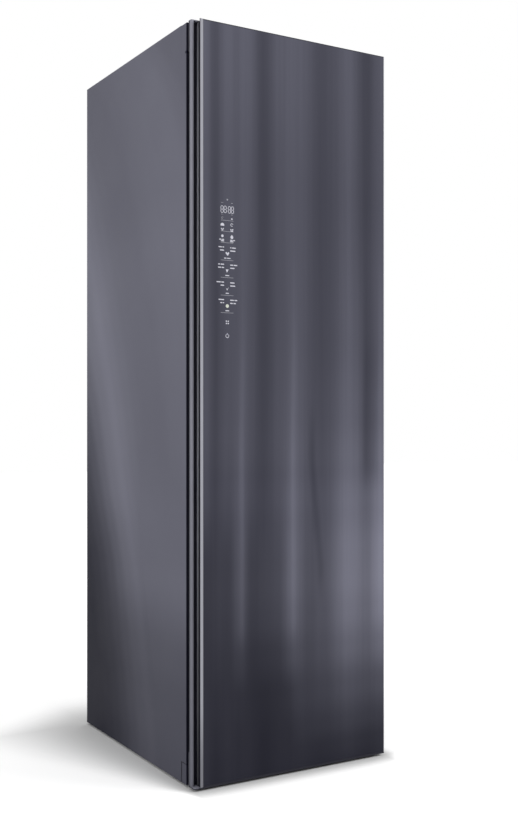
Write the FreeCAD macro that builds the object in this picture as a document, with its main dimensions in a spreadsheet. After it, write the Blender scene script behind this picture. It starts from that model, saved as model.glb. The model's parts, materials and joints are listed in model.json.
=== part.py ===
import FreeCAD, Part
import math
import os
import re
import Sketcher

# Clothes care steam cabinet: a tall cabinet with one full-height door, a garment space with a
# shaking hanger rail, and a heat pump, steam generator and water tanks below its floor.
# The frame: +X to the right, -Y to the front, +Z up, origin on the floor under the middle.
# Across the door, u is measured from the cabinet's left side and v forward from the cabinet's front.

Vector = FreeCAD.Vector
doc = FreeCAD.newDocument("SteamCabinet")

DIMS = {
    # outside
    "overall_width": 565,
    "overall_depth": 682,
    "overall_height": 1850,
    "floor_gap": 6,
    "steel_gauge": 1,
    "front_flange": 20,
    "rear_flange": 15,
    "panel_edge_radius": 2,
    "seam": 0.3,
    "corner_cover_depth": 28,
    "corner_cover_thick": 6,
    "upper_cover_height": 77,
    "lower_cover_height": 51,
    # garment space
    "wall_build": 33.5,
    "cavity_floor": 384,
    "ceiling_build": 70,
    "cavity_rear_build": 50,
    "liner_wall": 2.5,
    "frame_depth": 14,
    "frame_sill": 24,
    "frame_top_drop": 12,
    "ledge_width": 7,
    "ledge_drop": 8,
    "deck_thick": 10,
    # door
    "door_depth": 42,
    "door_top_drop": 0.3,
    "sill_gauge": 3,
    "gasket_gap": 13,
    "glass_gauge": 4,
    "glass_recess": 0.2,
    "glass_end_inset": 2.5,
    "lip_width": 7.3,
    "lip_front": 25,
    "lip_radius": 4,
    "channel_floor": 15,
    "stile_width": 34,
    "trim_start": 15,
    "trim_end": 24,
    "trim_gauge": 2,
    "leg_lean": 3,
    "leg_gauge": 1.6,
    "leg_foot": 17,
    "upper_cap_height": 74,
    "lower_cap_height": 80,
    "cap_back": 10,
    "cap_web": 3,
    "right_stile_width": 14,
    "side_trim_width": 2,
    "side_trim_back": 33,
    "liner_gauge": 2,
    "plug_side_gap": 5,
    "plug_rim": 2,
    "plug_depth": 18,
    "plug_sill_gap": 16,
    "plug_top_gap": 16,
    "plug_radius": 8,
    "gasket_width": 18,
    "gasket_inset": 8.5,
    # hinge
    "hinge_from_right": 12,
    "hinge_setback": 22,
    "pin_radius": 4,
    "pin_length": 26,
    "arm_end_radius": 7,
    "arm_half_width": 5,
    "arm_gauge": 4,
    "upper_arm_recess": 15,
    "lower_arm_recess": 15,
    "bush_radius": 7,
    "running_fit": 0.05,
    # garment shaker
    "rail_end_gap": 44,
    "rail_width": 32,
    "rail_depth": 20,
    "rail_drop": 23,
    "notch_count": 5,
    "notch_width": 9,
    "notch_depth": 5,
    "notch_pitch": 76,
    "shake_stroke": 25,
    "post_radius": 7,
    "post_offset": 85,
    "rod_radius": 5,
    "rod_offset": 45,
    "rod_rise": 26,
    "rod_half_length": 186,
    "tooth_module": 1.5,
    "pinion_teeth": 18,
    "rack_teeth": 19,
    "gear_width": 10,
    "backlash": 0.2,
    # shelf
    "shelf_height": 900,
    "shelf_thick": 12,
    "shelf_depth": 400,
    "shelf_side_gap": 3,
    "shelf_slots": 19,
    # controls
    "display_width": 80,
    "display_height": 415,
    "display_inset": 50,
    "display_drop": 308,
    "display_depth": 19,
    # light
    "light_inset": 54,
    "light_length": 260,
    "light_depth": 9,
    # water tanks
    "tank_side": 146,
    "tank_height": 216,
    "tank_wall": 2.5,
    "tank_wall_gap": 8,
    "tank_inset": 104,
    "tank_radius": 12,
    "tank_clearance": 2,
    "tank_shelf_top": 150,
    # air path
    "duct_tank_gap": 15,
    "duct_bottom": 152,
    "duct_height": 166,
    "duct_inset": 31,
    "duct_length": 328,
    "coil_depth": 42,
    "coil_gap": 13,
    "coil_behind_tank": 12,
    "duct_wall": 2,
    "fan_x": -25,
    "fan_z": 232,
    "impeller_radius": 72,
    "impeller_width": 54,
    "blade_count": 16,
    "inlet_radius": 50,
    "scroll_radius": 82,
    "scroll_step": 10,
    "scroll_width": 68,
    "scroll_neck": 100,
    "fin_count": 7,
    "outlet_half_width": 112,
    "outlet_half_depth": 29,
    "slat_count": 17,
    "filter_side_gap": 12,
    "filter_length": 84,
    "filter_inset": 87,
    "filter_depth": 62,
    "aroma_side_gap": 89,
    "aroma_y": -40,
    "aroma_half_length": 28,
    "aroma_half_width": 18,
    "aroma_depth": 30,
    # steam
    "boiler_side_gap": 59,
    "boiler_y": -10,
    "boiler_half_length": 60,
    "boiler_half_width": 50,
    "boiler_height": 150,
    "nozzle_radius": 12,
    "nozzle_offset": 10,
    "hose_radius": 6,
    "hose_bend": 11,
    # heat pump
    "compressor_side_gap": 84,
    "compressor_inset": 141,
    "compressor_radius": 60,
    "compressor_height": 154,
    "compressor_lift": 14,
    "accumulator_radius": 22,
    "accumulator_offset": 78,
    "pipe_bend": 10,
    # control box
    "control_side_gap": 44,
    "control_inset": 96,
    "control_lift": 120,
    "control_half_width": 62,
    "control_half_length": 70,
    # base
    "pan_rise": 8,
    "pan_gauge": 1.5,
    "pan_flange": 25,
    "foot_radius": 19,
    "foot_pad": 7,
    "foot_side_inset": 47.5,
    "foot_front_inset": 61,
    "foot_rear_inset": 51,
    "shelf_post_inset": 26.5,
    "stud_radius": 5,
    "gland_bore": 4,
}

LINES = {
    "half_width": "overall_width / 2",
    "rear": "overall_depth / 2",
    "door_front": "-overall_depth / 2",
    "body_front": "door_front + door_depth",
    "panel_inside": "half_width - steel_gauge",
    "door_bottom": "floor_gap + sill_gauge",
    "door_top": "overall_height - door_top_drop",
    "core_bottom": "door_bottom + lower_cap_height",
    "core_top": "door_top - upper_cap_height",
    "glass_back": "glass_recess + glass_gauge + seam",
    "stile_front": "door_depth - glass_back",
    "right_stile_start": "overall_width - right_stile_width",
    "plug_half_width": "min(cavity_half - plug_side_gap; half_width - stile_width - plug_rim)",
    "frame_top": "overall_height - frame_top_drop",
    "frame_half_width": "half_width - corner_cover_thick - seam",
    "cavity_half": "half_width - wall_build",
    "cavity_ceiling": "overall_height - ceiling_build",
    "cavity_back": "rear - cavity_rear_build",
    "deck_bottom": "cavity_floor - deck_thick",
    "hinge_x": "half_width - hinge_from_right",
    "hinge_y": "body_front - hinge_setback",
    "pan_bottom": "floor_gap + pan_rise",
    "pan_top": "pan_bottom + pan_gauge",
    "rod_z": "cavity_ceiling + rod_rise",
    "rail_top": "cavity_ceiling - rail_drop",
    "rail_length": "2 * (cavity_half - rail_end_gap)",
    "rack_root_y": "-rod_offset - 17",
    "rack_pitch_y": "rack_root_y - 1.25 * tooth_module",
    "pinion_radius": "tooth_module * pinion_teeth / 2",
    "pinion_y": "rack_pitch_y - pinion_radius",
    "rack_z": "rod_z - 8",
    "tank_offset_x": "cavity_half - tank_side / 2 - tank_wall_gap",
    "tank_centre_y": "body_front + tank_inset",
    "duct_half_width": "tank_offset_x - tank_side / 2 - duct_tank_gap",
    "duct_front": "body_front + duct_inset",
    "duct_rear": "duct_front + duct_length",
    "duct_top": "duct_bottom + duct_height",
    "evaporator_y": "tank_centre_y + tank_side / 2 + coil_behind_tank",
    "condenser_y": "evaporator_y + coil_depth + coil_gap",
    "filter_width": "2 * (duct_half_width - filter_side_gap)",
    "filter_centre_y": "body_front + filter_inset",
    "aroma_x": "cavity_half - aroma_side_gap",
    "boiler_x": "boiler_side_gap - cavity_half",
    "nozzle_x": "boiler_x + nozzle_offset",
    "compressor_x": "cavity_half - compressor_side_gap",
    "compressor_y": "rear - compressor_inset",
    "foot_x": "half_width - foot_side_inset",
    "foot_front_y": "body_front + foot_front_inset",
    "foot_rear_y": "rear - foot_rear_inset",
    "scroll_top": "fan_z + scroll_neck",
}

AXES = {"X": (0, 1, 0, 90), "Y": (1, 0, 0, -90), "Z": (0, 0, 1, 0)}
nodes = []


def expression(text, own_sheet=""):
    """The text with each alias given its sheet, as the document's expressions need it."""

    def with_sheet(match):
        word = match.group(0)
        sheet = "Dims" if word in DIMS else "Lines" if word in LINES else ""
        return word if sheet in ("", own_sheet) else f"{sheet}.{word}"

    return re.sub(r"[a-z][a-z_]*[a-z]", with_sheet, str(text))


def fill_sheet(name, cells):
    """A sheet whose second column holds the given contents, each under its alias."""
    sheet = doc.addObject("Spreadsheet::Sheet", name)
    for row, (alias, content) in enumerate(cells.items(), 1):
        sheet.set(f"A{row}", alias)
        sheet.set(f"B{row}", content)
        sheet.setAlias(f"B{row}", alias)
    doc.recompute()
    return sheet


dims_sheet = fill_sheet("Dims", {alias: str(number) for alias, number in DIMS.items()})
lines_sheet = fill_sheet("Lines", {alias: "=" + expression(text, "Lines") for alias, text in LINES.items()})


class Sizes:
    """The sheets' values as plain numbers."""

    def __getattr__(self, alias):
        sheet = dims_sheet if alias in DIMS else lines_sheet
        return float(sheet.get(alias))


size = Sizes()


# ---------------------------------------------------------------- ways to make a solid

def bind(thing, prop, text):
    thing.setExpression(prop, expression(text))


def place(thing, spot):
    """Binds the placement's three coordinates."""
    for axis, text in zip("xyz", spot):
        bind(thing, f"Placement.Base.{axis}", text)
    return thing


def box(name, x, y, z):
    """A block between two planes along each axis."""
    block = doc.addObject("Part::Box", name)
    for prop, (low, high) in zip(("Length", "Width", "Height"), (x, y, z)):
        bind(block, prop, f"({high}) - ({low})")
    return place(block, (x[0], y[0], z[0]))


def cylinder(name, radius, length, start, axis="Z"):
    """A cylinder that runs from its start along one axis."""
    rod = doc.addObject("Part::Cylinder", name)
    bind(rod, "Radius", radius)
    bind(rod, "Height", length)
    x, y, z, angle = AXES[axis]
    rod.Placement.Rotation = FreeCAD.Rotation(Vector(x, y, z), angle)
    return place(rod, start)


def joined(name, parts):
    fused = doc.addObject("Part::MultiFuse", name)
    fused.Shapes = parts
    return fused


def cut(name, base, tools):
    result = doc.addObject("Part::Cut", name)
    result.Base = base
    result.Tool = tools[0] if len(tools) == 1 else joined(name + "Tools", tools)
    return result


def mirrored(name, source):
    twin = doc.addObject("Part::Mirroring", name)
    twin.Source = source
    twin.Normal = Vector(1, 0, 0)
    return twin


def grouped(name, parts):
    group = doc.addObject("Part::Compound", name)
    group.Links = parts
    return group


def from_shape(name, shape, spot=("0", "0", "0")):
    """A piece whose form Part's own functions made."""
    piece = doc.addObject("Part::Feature", name)
    piece.Shape = shape
    return place(piece, spot)


def node(label, thing):
    """Names a finished sub-part and lists it for the export."""
    thing.Label = label
    nodes.append(thing)
    return thing


def new_body(name, spot=("0", "0", "0")):
    return place(doc.addObject("PartDesign::Body", name), spot)


def origin(body, role):
    return next(feature for feature in body.Origin.OriginFeatures if feature.Role == role)


def sketch_on(body, plane, offset="0"):
    sketch = body.newObject("Sketcher::SketchObject", body.Name + "Sketch")
    sketch.AttachmentSupport = (origin(body, plane), [""])
    sketch.MapMode = "FlatFace"
    bind(sketch, "AttachmentOffset.Base.z", offset)
    return sketch


def hold(sketch, kind, geometry, point, text):
    """Holds one coordinate of a sketch point at an expression."""
    index = sketch.addConstraint(Sketcher.Constraint(kind, -1, 1, geometry, point, 1.0))
    bind(sketch, f"Constraints[{index}]", text)


def outline(sketch, points):
    """A closed outline of straight sides, each corner held at its coordinates."""
    first = sketch.GeometryCount
    count = len(points)
    spread = [Vector(math.cos(math.tau * i / count), math.sin(math.tau * i / count), 0) for i in range(count)]
    for i in range(count):
        sketch.addGeometry(Part.LineSegment(spread[i], spread[(i + 1) % count]))
    for i in range(count):
        sketch.addConstraint(Sketcher.Constraint("Coincident", first + i, 2, first + (i + 1) % count, 1))
    for i, (across, along) in enumerate(points):
        hold(sketch, "DistanceX", first + i, 1, across)
        hold(sketch, "DistanceY", first + i, 1, along)


def rectangle(sketch, x, y):
    outline(sketch, [(x[0], y[0]), (x[1], y[0]), (x[1], y[1]), (x[0], y[1])])


def circle(sketch, radius, x="0", y="0"):
    index = sketch.addGeometry(Part.Circle(Vector(1, 1, 0), Vector(0, 0, 1), 2))
    hold(sketch, "DistanceX", index, 3, x)
    hold(sketch, "DistanceY", index, 3, y)
    held = sketch.addConstraint(Sketcher.Constraint("Radius", index, 2.0))
    bind(sketch, f"Constraints[{held}]", radius)


def pad(body, sketch, length, reverse=False):
    feature = body.newObject("PartDesign::Pad", body.Name + "Pad")
    feature.Profile = sketch
    feature.Reversed = reverse
    bind(feature, "Length", length)
    doc.recompute()
    return feature


def pocket(body, sketch, length, reverse=False):
    """Cuts a sketch to a depth, and makes sure that the cut went into the solid."""
    before = body.Shape.Volume
    feature = body.newObject("PartDesign::Pocket", body.Name + "Pocket")
    feature.Profile = sketch
    feature.Reversed = reverse
    bind(feature, "Length", length)
    doc.recompute()
    if feature.Shape.Volume >= before:
        raise RuntimeError(f"{feature.Name} cuts nothing")
    return feature


def fillet(body, radius, points):
    """Rounds the edges that pass through the given points."""
    base = body.Tip
    wanted = [Part.Vertex(Vector(*point)) for point in points]
    edges = [
        f"Edge{index}"
        for index, edge in enumerate(base.Shape.Edges, 1)
        if any(edge.distToShape(vertex)[0] < 0.01 for vertex in wanted)
    ]
    feature = body.newObject("PartDesign::Fillet", body.Name + "Fillet")
    feature.Base = (base, edges)
    bind(feature, "Radius", radius)
    doc.recompute()
    return feature


def row(body, original, axis, length, count, reverse=False):
    """Repeats a feature along one of the body's axes, over a length in all."""
    feature = body.newObject("PartDesign::LinearPattern", body.Name + "Row")
    feature.Originals = [original]
    feature.Direction = (origin(body, axis), [""])
    feature.Reversed = reverse
    bind(feature, "Length", length)
    bind(feature, "Occurrences", count)
    body.Tip = feature
    doc.recompute()
    return feature


def ring(body, original, axis, count):
    """Repeats a feature all round one of the body's axes."""
    feature = body.newObject("PartDesign::PolarPattern", body.Name + "Ring")
    feature.Originals = [original]
    feature.Axis = (origin(body, axis), [""])
    feature.Angle = 360
    bind(feature, "Occurrences", count)
    body.Tip = feature
    doc.recompute()
    return feature


def bent_tube(points, bend, radius):
    """An eight-sided tube: straight runs joined by arcs of one bend radius."""
    corners = [Vector(*point) for point in points]

    def section(centre, normal, across):
        corner = across.normalize() * (radius / math.cos(math.pi / 8))
        turns = [FreeCAD.Rotation(normal, 22.5 + 45 * i) for i in range(8)]
        ring_points = [centre + turn.multVec(corner) for turn in turns]
        return Part.Face(Part.makePolygon(ring_points + ring_points[:1]))

    solids = []
    start = corners[0]
    heading = (corners[1] - corners[0]).normalize()
    level = Vector(1, 0, 0) if abs(heading.x) < 0.5 else Vector(0, 1, 0)
    for before, corner, after in zip(corners, corners[1:], corners[2:]):
        back = (before - corner).normalize()
        ahead = (after - corner).normalize()
        half_turn = back.getAngle(ahead) / 2
        reach = bend / math.tan(half_turn)
        arc_start = corner + back * reach
        hinge = ahead.cross(back)
        solids.append(section(start, back, hinge).extrude(arc_start - start))
        middle = corner + (back + ahead).normalize() * (bend / math.sin(half_turn))
        turn = 180 - math.degrees(2 * half_turn)
        solids.append(section(arc_start, back, hinge).revolve(middle, hinge, turn))
        start = corner + ahead * reach
        heading = ahead
        level = hinge
    solids.append(section(start, heading, level).extrude(corners[-1] - start))
    return solids[0].fuse(solids[1:]) if len(solids) > 1 else solids[0]


# ---------------------------------------------------------------- cabinet shell

def side_panels():
    """Folded steel sides, with their front corners notched for the moulded covers."""
    left = new_body("LeftSide")
    section = sketch_on(left, "XY_Plane", "floor_gap")
    outline(section, [
        ("-half_width", "body_front"),
        ("-half_width + front_flange", "body_front"),
        ("-half_width + front_flange", "body_front + steel_gauge"),
        ("-panel_inside", "body_front + steel_gauge"),
        ("-panel_inside", "rear - 2 * steel_gauge - seam"),
        ("-half_width + rear_flange", "rear - 2 * steel_gauge - seam"),
        ("-half_width + rear_flange", "rear - steel_gauge - seam"),
        ("-half_width", "rear - steel_gauge - seam"),
    ])
    pad(left, section, "overall_height - floor_gap")
    fillet(left, "panel_edge_radius", [
        (-size.half_width, size.body_front, size.overall_height / 2),
        (-size.half_width, size.rear - size.steel_gauge - size.seam, size.overall_height / 2),
    ])
    corner = ("body_front - 1", "body_front + corner_cover_depth")
    for height in (
        ("0", "floor_gap + lower_cover_height"),
        ("overall_height - upper_cover_height", "overall_height + 1"),
    ):
        notch = sketch_on(left, "YZ_Plane", "-half_width")
        rectangle(notch, corner, height)
        pocket(left, notch, "corner_cover_thick + seam", reverse=True)
    for height in (("0", "pan_top + seam"), ("frame_top - seam", "overall_height + 1")):
        gap = sketch_on(left, "YZ_Plane", "-half_width")
        rectangle(gap, ("body_front - 1", "body_front + steel_gauge + seam"), height)
        pocket(left, gap, "front_flange + 1", reverse=True)
    node("left_side_panel", left)
    node("right_side_panel", mirrored("RightSide", left))


def corner_covers():
    """Moulded covers on the front corners of the sides, top and bottom."""
    covers = []
    for name, low, high in (
        ("UpperCover", "overall_height - upper_cover_height + seam", "overall_height - steel_gauge - seam"),
        ("LowerCover", "floor_gap", "floor_gap + lower_cover_height - seam"),
    ):
        left = new_body(name)
        section = sketch_on(left, "XY_Plane", low)
        rectangle(
            section,
            ("-half_width", "-half_width + corner_cover_thick"),
            ("body_front", "body_front + corner_cover_depth - seam"),
        )
        pad(left, section, f"({high}) - ({low})")
        middle = size.floor_gap + 20 if name == "LowerCover" else size.overall_height - 20
        fillet(left, "corner_cover_thick / 2", [(-size.half_width, size.body_front, middle)])
        covers += [left, mirrored(f"{name}Twin", left)]
    node("corner_covers", grouped("CornerCovers", covers))


def top_cover():
    """A steel lid between the sides, folded down at the front and sides."""
    plate = box("TopPlate", ("-panel_inside + seam", "panel_inside - seam"),
                ("body_front", "rear - 2 * (steel_gauge + seam)"),
                ("overall_height - steel_gauge", "overall_height"))
    front = box("TopFront", ("-frame_half_width", "frame_half_width"),
                ("body_front", "body_front + steel_gauge"),
                ("frame_top + arm_gauge + 1", "overall_height - steel_gauge"))
    sides = [
        box("TopSide" + name, x, ("body_front + corner_cover_depth + 2", "rear - 3 * steel_gauge"),
            ("frame_top", "overall_height - steel_gauge"))
        for name, x in (
            ("Left", ("-panel_inside + seam", "-panel_inside + seam + steel_gauge")),
            ("Right", ("panel_inside - seam - steel_gauge", "panel_inside - seam")),
        )
    ]
    node("top_cover", joined("TopCover", [plate, front] + sides))


def rear_panels():
    """The upper back sheet with its pressed ribs, and the louvred cover over the machinery."""
    back = new_body("BackPanel")
    sheet = sketch_on(back, "XZ_Plane", "-rear")
    width = ("-panel_inside + seam", "panel_inside - seam")
    rectangle(sheet, width, ("deck_bottom", "overall_height - steel_gauge - seam"))
    pad(back, sheet, "steel_gauge")
    rib = sketch_on(back, "XZ_Plane", "steel_gauge - rear")
    rectangle(rib, ("-cavity_half + 20", "-cavity_half + 28"), ("deck_bottom + 90", "overall_height - 110"))
    rib_pad = pad(back, rib, "2 * steel_gauge")
    row(back, rib_pad, "X_Axis", "2 * cavity_half - 48", 4)
    node("back_panel", back)

    cover = new_body("ServiceCover")
    sheet = sketch_on(cover, "XZ_Plane", "-rear")
    rectangle(sheet, width, ("pan_bottom", "deck_bottom - seam"))
    circle(sheet, "gland_bore + 5", "-cavity_half + 30", "pan_bottom + 90")
    pad(cover, sheet, "steel_gauge")
    slot = sketch_on(cover, "XZ_Plane", "steel_gauge - rear")
    rectangle(slot, ("-60", "cavity_half - 30"), ("pan_bottom + 60", "pan_bottom + 66"))
    slot_cut = pocket(cover, slot, "3 * steel_gauge")
    row(cover, slot_cut, "Z_Axis", "220", 12)
    node("rear_service_cover", cover)


def front_frame():
    """The moulded ring that the door seals on, round the mouth of the garment space."""
    frame = new_body("FrontFrame")
    mouth = (("-cavity_half", "cavity_half"), ("cavity_floor", "cavity_ceiling"))
    deep = sketch_on(frame, "XZ_Plane", "-body_front - frame_depth")
    rectangle(deep, ("-frame_half_width", "frame_half_width"), ("cavity_floor - frame_sill", "frame_top"))
    rectangle(deep, *mouth)
    pad(frame, deep, "frame_depth - steel_gauge - seam")
    face = sketch_on(frame, "XZ_Plane", "-body_front - steel_gauge - seam")
    edge = "half_width - front_flange - seam"
    rectangle(face, (f"-({edge})", edge), ("cavity_floor - frame_sill", "frame_top"))
    rectangle(face, *mouth)
    pad(frame, face, "steel_gauge + seam")
    node("front_frame", frame)


def service_panel():
    """The steel panel below the garment space, behind the closed door."""
    panel = new_body("LowerFront")
    sheet = sketch_on(panel, "XZ_Plane", "-body_front - steel_gauge")
    edge = "half_width - front_flange - seam"
    rectangle(sheet, (f"-({edge})", edge), ("pan_top + seam", "cavity_floor - frame_sill - seam"))
    pad(panel, sheet, "steel_gauge")
    bead = sketch_on(panel, "XZ_Plane", "-body_front - 2 * steel_gauge")
    rectangle(bead, ("-cavity_half + 49", "cavity_half - 49"), ("pan_top + 70", "pan_top + 78"))
    bead_pad = pad(panel, bead, "steel_gauge")
    row(panel, bead_pad, "Z_Axis", "180", 3)
    node("lower_front_panel", panel)


def liners():
    """The four moulded walls of the garment space, each behind the front frame."""
    start = "body_front + frame_depth"
    left = new_body("LeftLiner")
    wall = sketch_on(left, "XY_Plane", "deck_bottom")
    rectangle(wall, ("-cavity_half - liner_wall", "-cavity_half"), (start, "cavity_back"))
    pad(left, wall, "cavity_ceiling - deck_bottom")
    ledge = sketch_on(left, "XZ_Plane", "-cavity_back + 40")
    outline(ledge, [
        ("-cavity_half", "shelf_height - seam"),
        ("-cavity_half + ledge_width", "shelf_height - seam"),
        ("-cavity_half + ledge_width", "shelf_height - seam - ledge_drop / 2"),
        ("-cavity_half", "shelf_height - seam - 2 * ledge_drop"),
    ])
    pad(left, ledge, "shelf_depth + 20")
    groove = sketch_on(left, "YZ_Plane", "-cavity_half")
    rectangle(groove, ("cavity_back - 60", "cavity_back - 54"), ("shelf_height + 60", "cavity_ceiling - 60"))
    groove_cut = pocket(left, groove, "0.8")
    row(left, groove_cut, "Y_Axis", "400", 5, reverse=True)
    node("side_liners", grouped("SideLiners", [left, mirrored("RightLiner", left)]))

    back = new_body("BackLiner")
    wall = sketch_on(back, "XZ_Plane", "-cavity_back - liner_wall")
    width = ("-cavity_half - liner_wall", "cavity_half + liner_wall")
    rectangle(wall, width, ("deck_bottom", "cavity_ceiling"))
    pad(back, wall, "liner_wall")
    groove = sketch_on(back, "XZ_Plane", "-cavity_back")
    rectangle(groove, ("-cavity_half + 60", "-cavity_half + 66"),
              ("shelf_height + 60", "cavity_ceiling - 60"))
    groove_cut = pocket(back, groove, "0.8")
    row(back, groove_cut, "X_Axis", "2 * cavity_half - 126", 7)
    node("back_liner", back)

    ceiling = box("Ceiling", width, (start, "cavity_back + liner_wall"),
                  ("cavity_ceiling", "cavity_ceiling + 3"))
    node("ceiling_liner", cut("CeilingLiner", ceiling, post_slots("Ceiling", "cavity_ceiling", 3)))


def post_slots(name, low, thick):
    """Slots that let the two hanger posts shake from side to side."""
    reach = "post_radius + shake_stroke + 3"
    return [
        box(f"{name}Slot{side}", (f"{sign}post_offset - ({reach})", f"{sign}post_offset + {reach}"),
            ("-post_radius - 3", "post_radius + 3"), (f"{low} - 1", f"{low} + {thick} + 1"))
        for side, sign in (("Left", "-"), ("Right", ""))
    ]


def insulation():
    """Felt slabs between the liners and the steel."""
    z = ("cavity_floor", "cavity_ceiling")
    y = ("body_front + corner_cover_depth + seam", "cavity_back - 1")
    inner = "cavity_half + liner_wall + seam"
    outer = "panel_inside - seam"
    left = box("LeftFelt", (f"-({outer})", f"-({inner})"), y, z)
    right = box("RightFelt", (inner, outer), y, z)
    back = box("BackFelt", ("-cavity_half", "cavity_half"),
               ("cavity_back + liner_wall + seam", "rear - 5 * steel_gauge"), z)
    node("insulation", grouped("Insulation", [left, right, back]))


# ---------------------------------------------------------------- cabinet floor and base

def decks():
    """The floor of the garment space: a front part with the tanks' and filter's openings,
    and a rear part with the hot air outlet, the aroma cassette and the steam outlet."""
    split = "tank_centre_y + tank_side / 2 + 25"
    x = ("-cavity_half + seam", "cavity_half - seam")
    z = ("deck_bottom", "cavity_floor")
    through = ("deck_bottom - 1", "cavity_floor + 1")
    plate = box("FrontDeckPlate", x, ("body_front + frame_depth + seam", split), z)
    half_hole = "tank_side / 2 + tank_clearance"
    holes = [
        box(f"TankHole{side}", (f"{sign}tank_offset_x - ({half_hole})", f"{sign}tank_offset_x + {half_hole}"),
            (f"tank_centre_y - ({half_hole})", f"tank_centre_y + {half_hole}"), through)
        for side, sign in (("Left", "-"), ("Right", ""))
    ]
    half_length = "filter_length / 2 + 2"
    holes.append(box("FilterHole", ("-filter_width / 2 - 2", "filter_width / 2 + 2"),
                     (f"filter_centre_y - ({half_length})", f"filter_centre_y + {half_length}"), through))
    node("front_deck", cut("FrontDeck", plate, holes))

    plate = box("RearDeckPlate", x, (f"{split} + seam", "cavity_back - seam"), z)
    holes = [
        box("OutletHole", ("-outlet_half_width - 4", "outlet_half_width + 4"),
            ("duct_rear + 1", "duct_rear + scroll_width - 1"), through),
        box("AromaHole", ("aroma_x - aroma_half_length - 3", "aroma_x + aroma_half_length + 3"),
            ("aroma_y - aroma_half_width - 3", "aroma_y + aroma_half_width + 3"), through),
        cylinder("SteamHole", "nozzle_radius + seam", "deck_thick + 2",
                 ("nozzle_x", "boiler_y", "deck_bottom - 1")),
    ]
    node("rear_deck", cut("RearDeck", plate, holes))


def outlet_grille():
    """Slanted louvre slats in a frame, over the hot air outlet."""
    grille = new_body("OutletGrille")
    middle = "duct_rear + scroll_width / 2"

    def around(sketch, margin):
        rectangle(sketch, (f"-outlet_half_width - {margin}", f"outlet_half_width + {margin}"),
                  (f"{middle} - outlet_half_depth - {margin}", f"{middle} + outlet_half_depth + {margin}"))

    for margin, height, downward in ((10, "2.5", False), (3, "8", True)):
        frame = sketch_on(grille, "XY_Plane", "cavity_floor")
        around(frame, margin)
        around(frame, 0)
        pad(grille, frame, height, reverse=downward)
    slat = sketch_on(grille, "XZ_Plane", f"-({middle}) - outlet_half_depth - 0.5")
    start = "-outlet_half_width + 4"
    outline(slat, [
        (start, "cavity_floor - 6"),
        (f"{start} + 1.6", "cavity_floor - 6"),
        (f"{start} + 8.6", "cavity_floor + 1.5"),
        (f"{start} + 7", "cavity_floor + 1.5"),
    ])
    slat_pad = pad(grille, slat, "2 * outlet_half_depth + 1")
    row(grille, slat_pad, "X_Axis", "2 * outlet_half_width - 16", "slat_count")
    node("outlet_grille", grille)


def base_pan():
    """A folded steel pan with welded nuts, which carries the machinery and the feet."""
    pan = new_body("BasePan")
    x = ("-panel_inside + seam", "panel_inside - seam")
    y = ("body_front + steel_gauge + seam", "rear - 4 * steel_gauge")
    plate = sketch_on(pan, "XY_Plane", "pan_bottom")
    rectangle(plate, x, y)
    for foot_x in ("-foot_x", "foot_x"):
        for foot_y in ("foot_front_y", "foot_rear_y"):
            circle(plate, "stud_radius + running_fit", foot_x, foot_y)
    pad(pan, plate, "pan_gauge")
    walls = sketch_on(pan, "XY_Plane", "pan_top")
    rectangle(walls, x, y)
    rectangle(walls, (f"{x[0]} + pan_gauge", f"{x[1]} - pan_gauge"),
              (f"{y[0]} + pan_gauge", f"{y[1]} - pan_gauge"))
    pad(pan, walls, "pan_flange")
    corner = sketch_on(pan, "XY_Plane", "pan_bottom - 1")
    for side in (-1, 1):
        near = f"{side} * (frame_half_width - seam)"
        far = f"{side} * half_width"
        rectangle(corner, (near, far), ("body_front", "body_front + corner_cover_depth + 1"))
    pocket(pan, corner, "pan_flange + pan_gauge + 2", reverse=True)
    nuts = sketch_on(pan, "XY_Plane", "pan_top")
    for foot_x in ("-foot_x", "foot_x"):
        for foot_y in ("foot_front_y", "foot_rear_y"):
            hexagon = [(9.8 * math.cos(math.pi * i / 3), 9.8 * math.sin(math.pi * i / 3)) for i in range(6)]
            outline(nuts, [(f"{foot_x} + {dx:.4f}", f"{foot_y} + {dy:.4f}") for dx, dy in hexagon])
            circle(nuts, "stud_radius + running_fit", foot_x, foot_y)
    pad(pan, nuts, "9")
    bead = sketch_on(pan, "XY_Plane", "pan_top")
    rectangle(bead, ("-128", "-116"), ("boiler_y - 70", "rear - 61"))
    bead_pad = pad(pan, bead, "2 * pan_gauge")
    row(pan, bead_pad, "X_Axis", "180", 3)
    node("base_pan", pan)


def foot(name, spot):
    """A levelling foot: a pad with a sloped top and a stud."""
    body = new_body(name, spot)
    profile = sketch_on(body, "XZ_Plane")
    outline(profile, [
        ("0", "0"),
        ("foot_radius", "0"),
        ("foot_radius", "foot_pad - 3"),
        ("stud_radius", "pan_bottom - seam"),
        ("stud_radius", "pan_bottom + 32"),
        ("0", "pan_bottom + 32"),
    ])
    turned = body.newObject("PartDesign::Revolution", name + "Turned")
    turned.Profile = profile
    turned.ReferenceAxis = (profile, ["V_Axis"])
    turned.Angle = 360
    doc.recompute()
    return body


def feet():
    """Two front feet that turn to level the cabinet, and two rear feet."""
    node("front_left_foot", foot("FrontLeftFoot", ("-foot_x", "foot_front_y", "0")))
    node("front_right_foot", foot("FrontRightFoot", ("foot_x", "foot_front_y", "0")))
    rear = [
        foot(f"RearFoot{side}", (f"{sign}foot_x", "foot_rear_y", "0"))
        for side, sign in (("Left", "-"), ("Right", ""))
    ]
    node("rear_feet", grouped("RearFeet", rear))


# ---------------------------------------------------------------- door

def door_profile(sketch, corners):
    """An outline across the door, each corner given as u and v."""
    outline(sketch, [(f"-half_width + {u}", f"body_front - ({v})") for u, v in corners])


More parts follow.
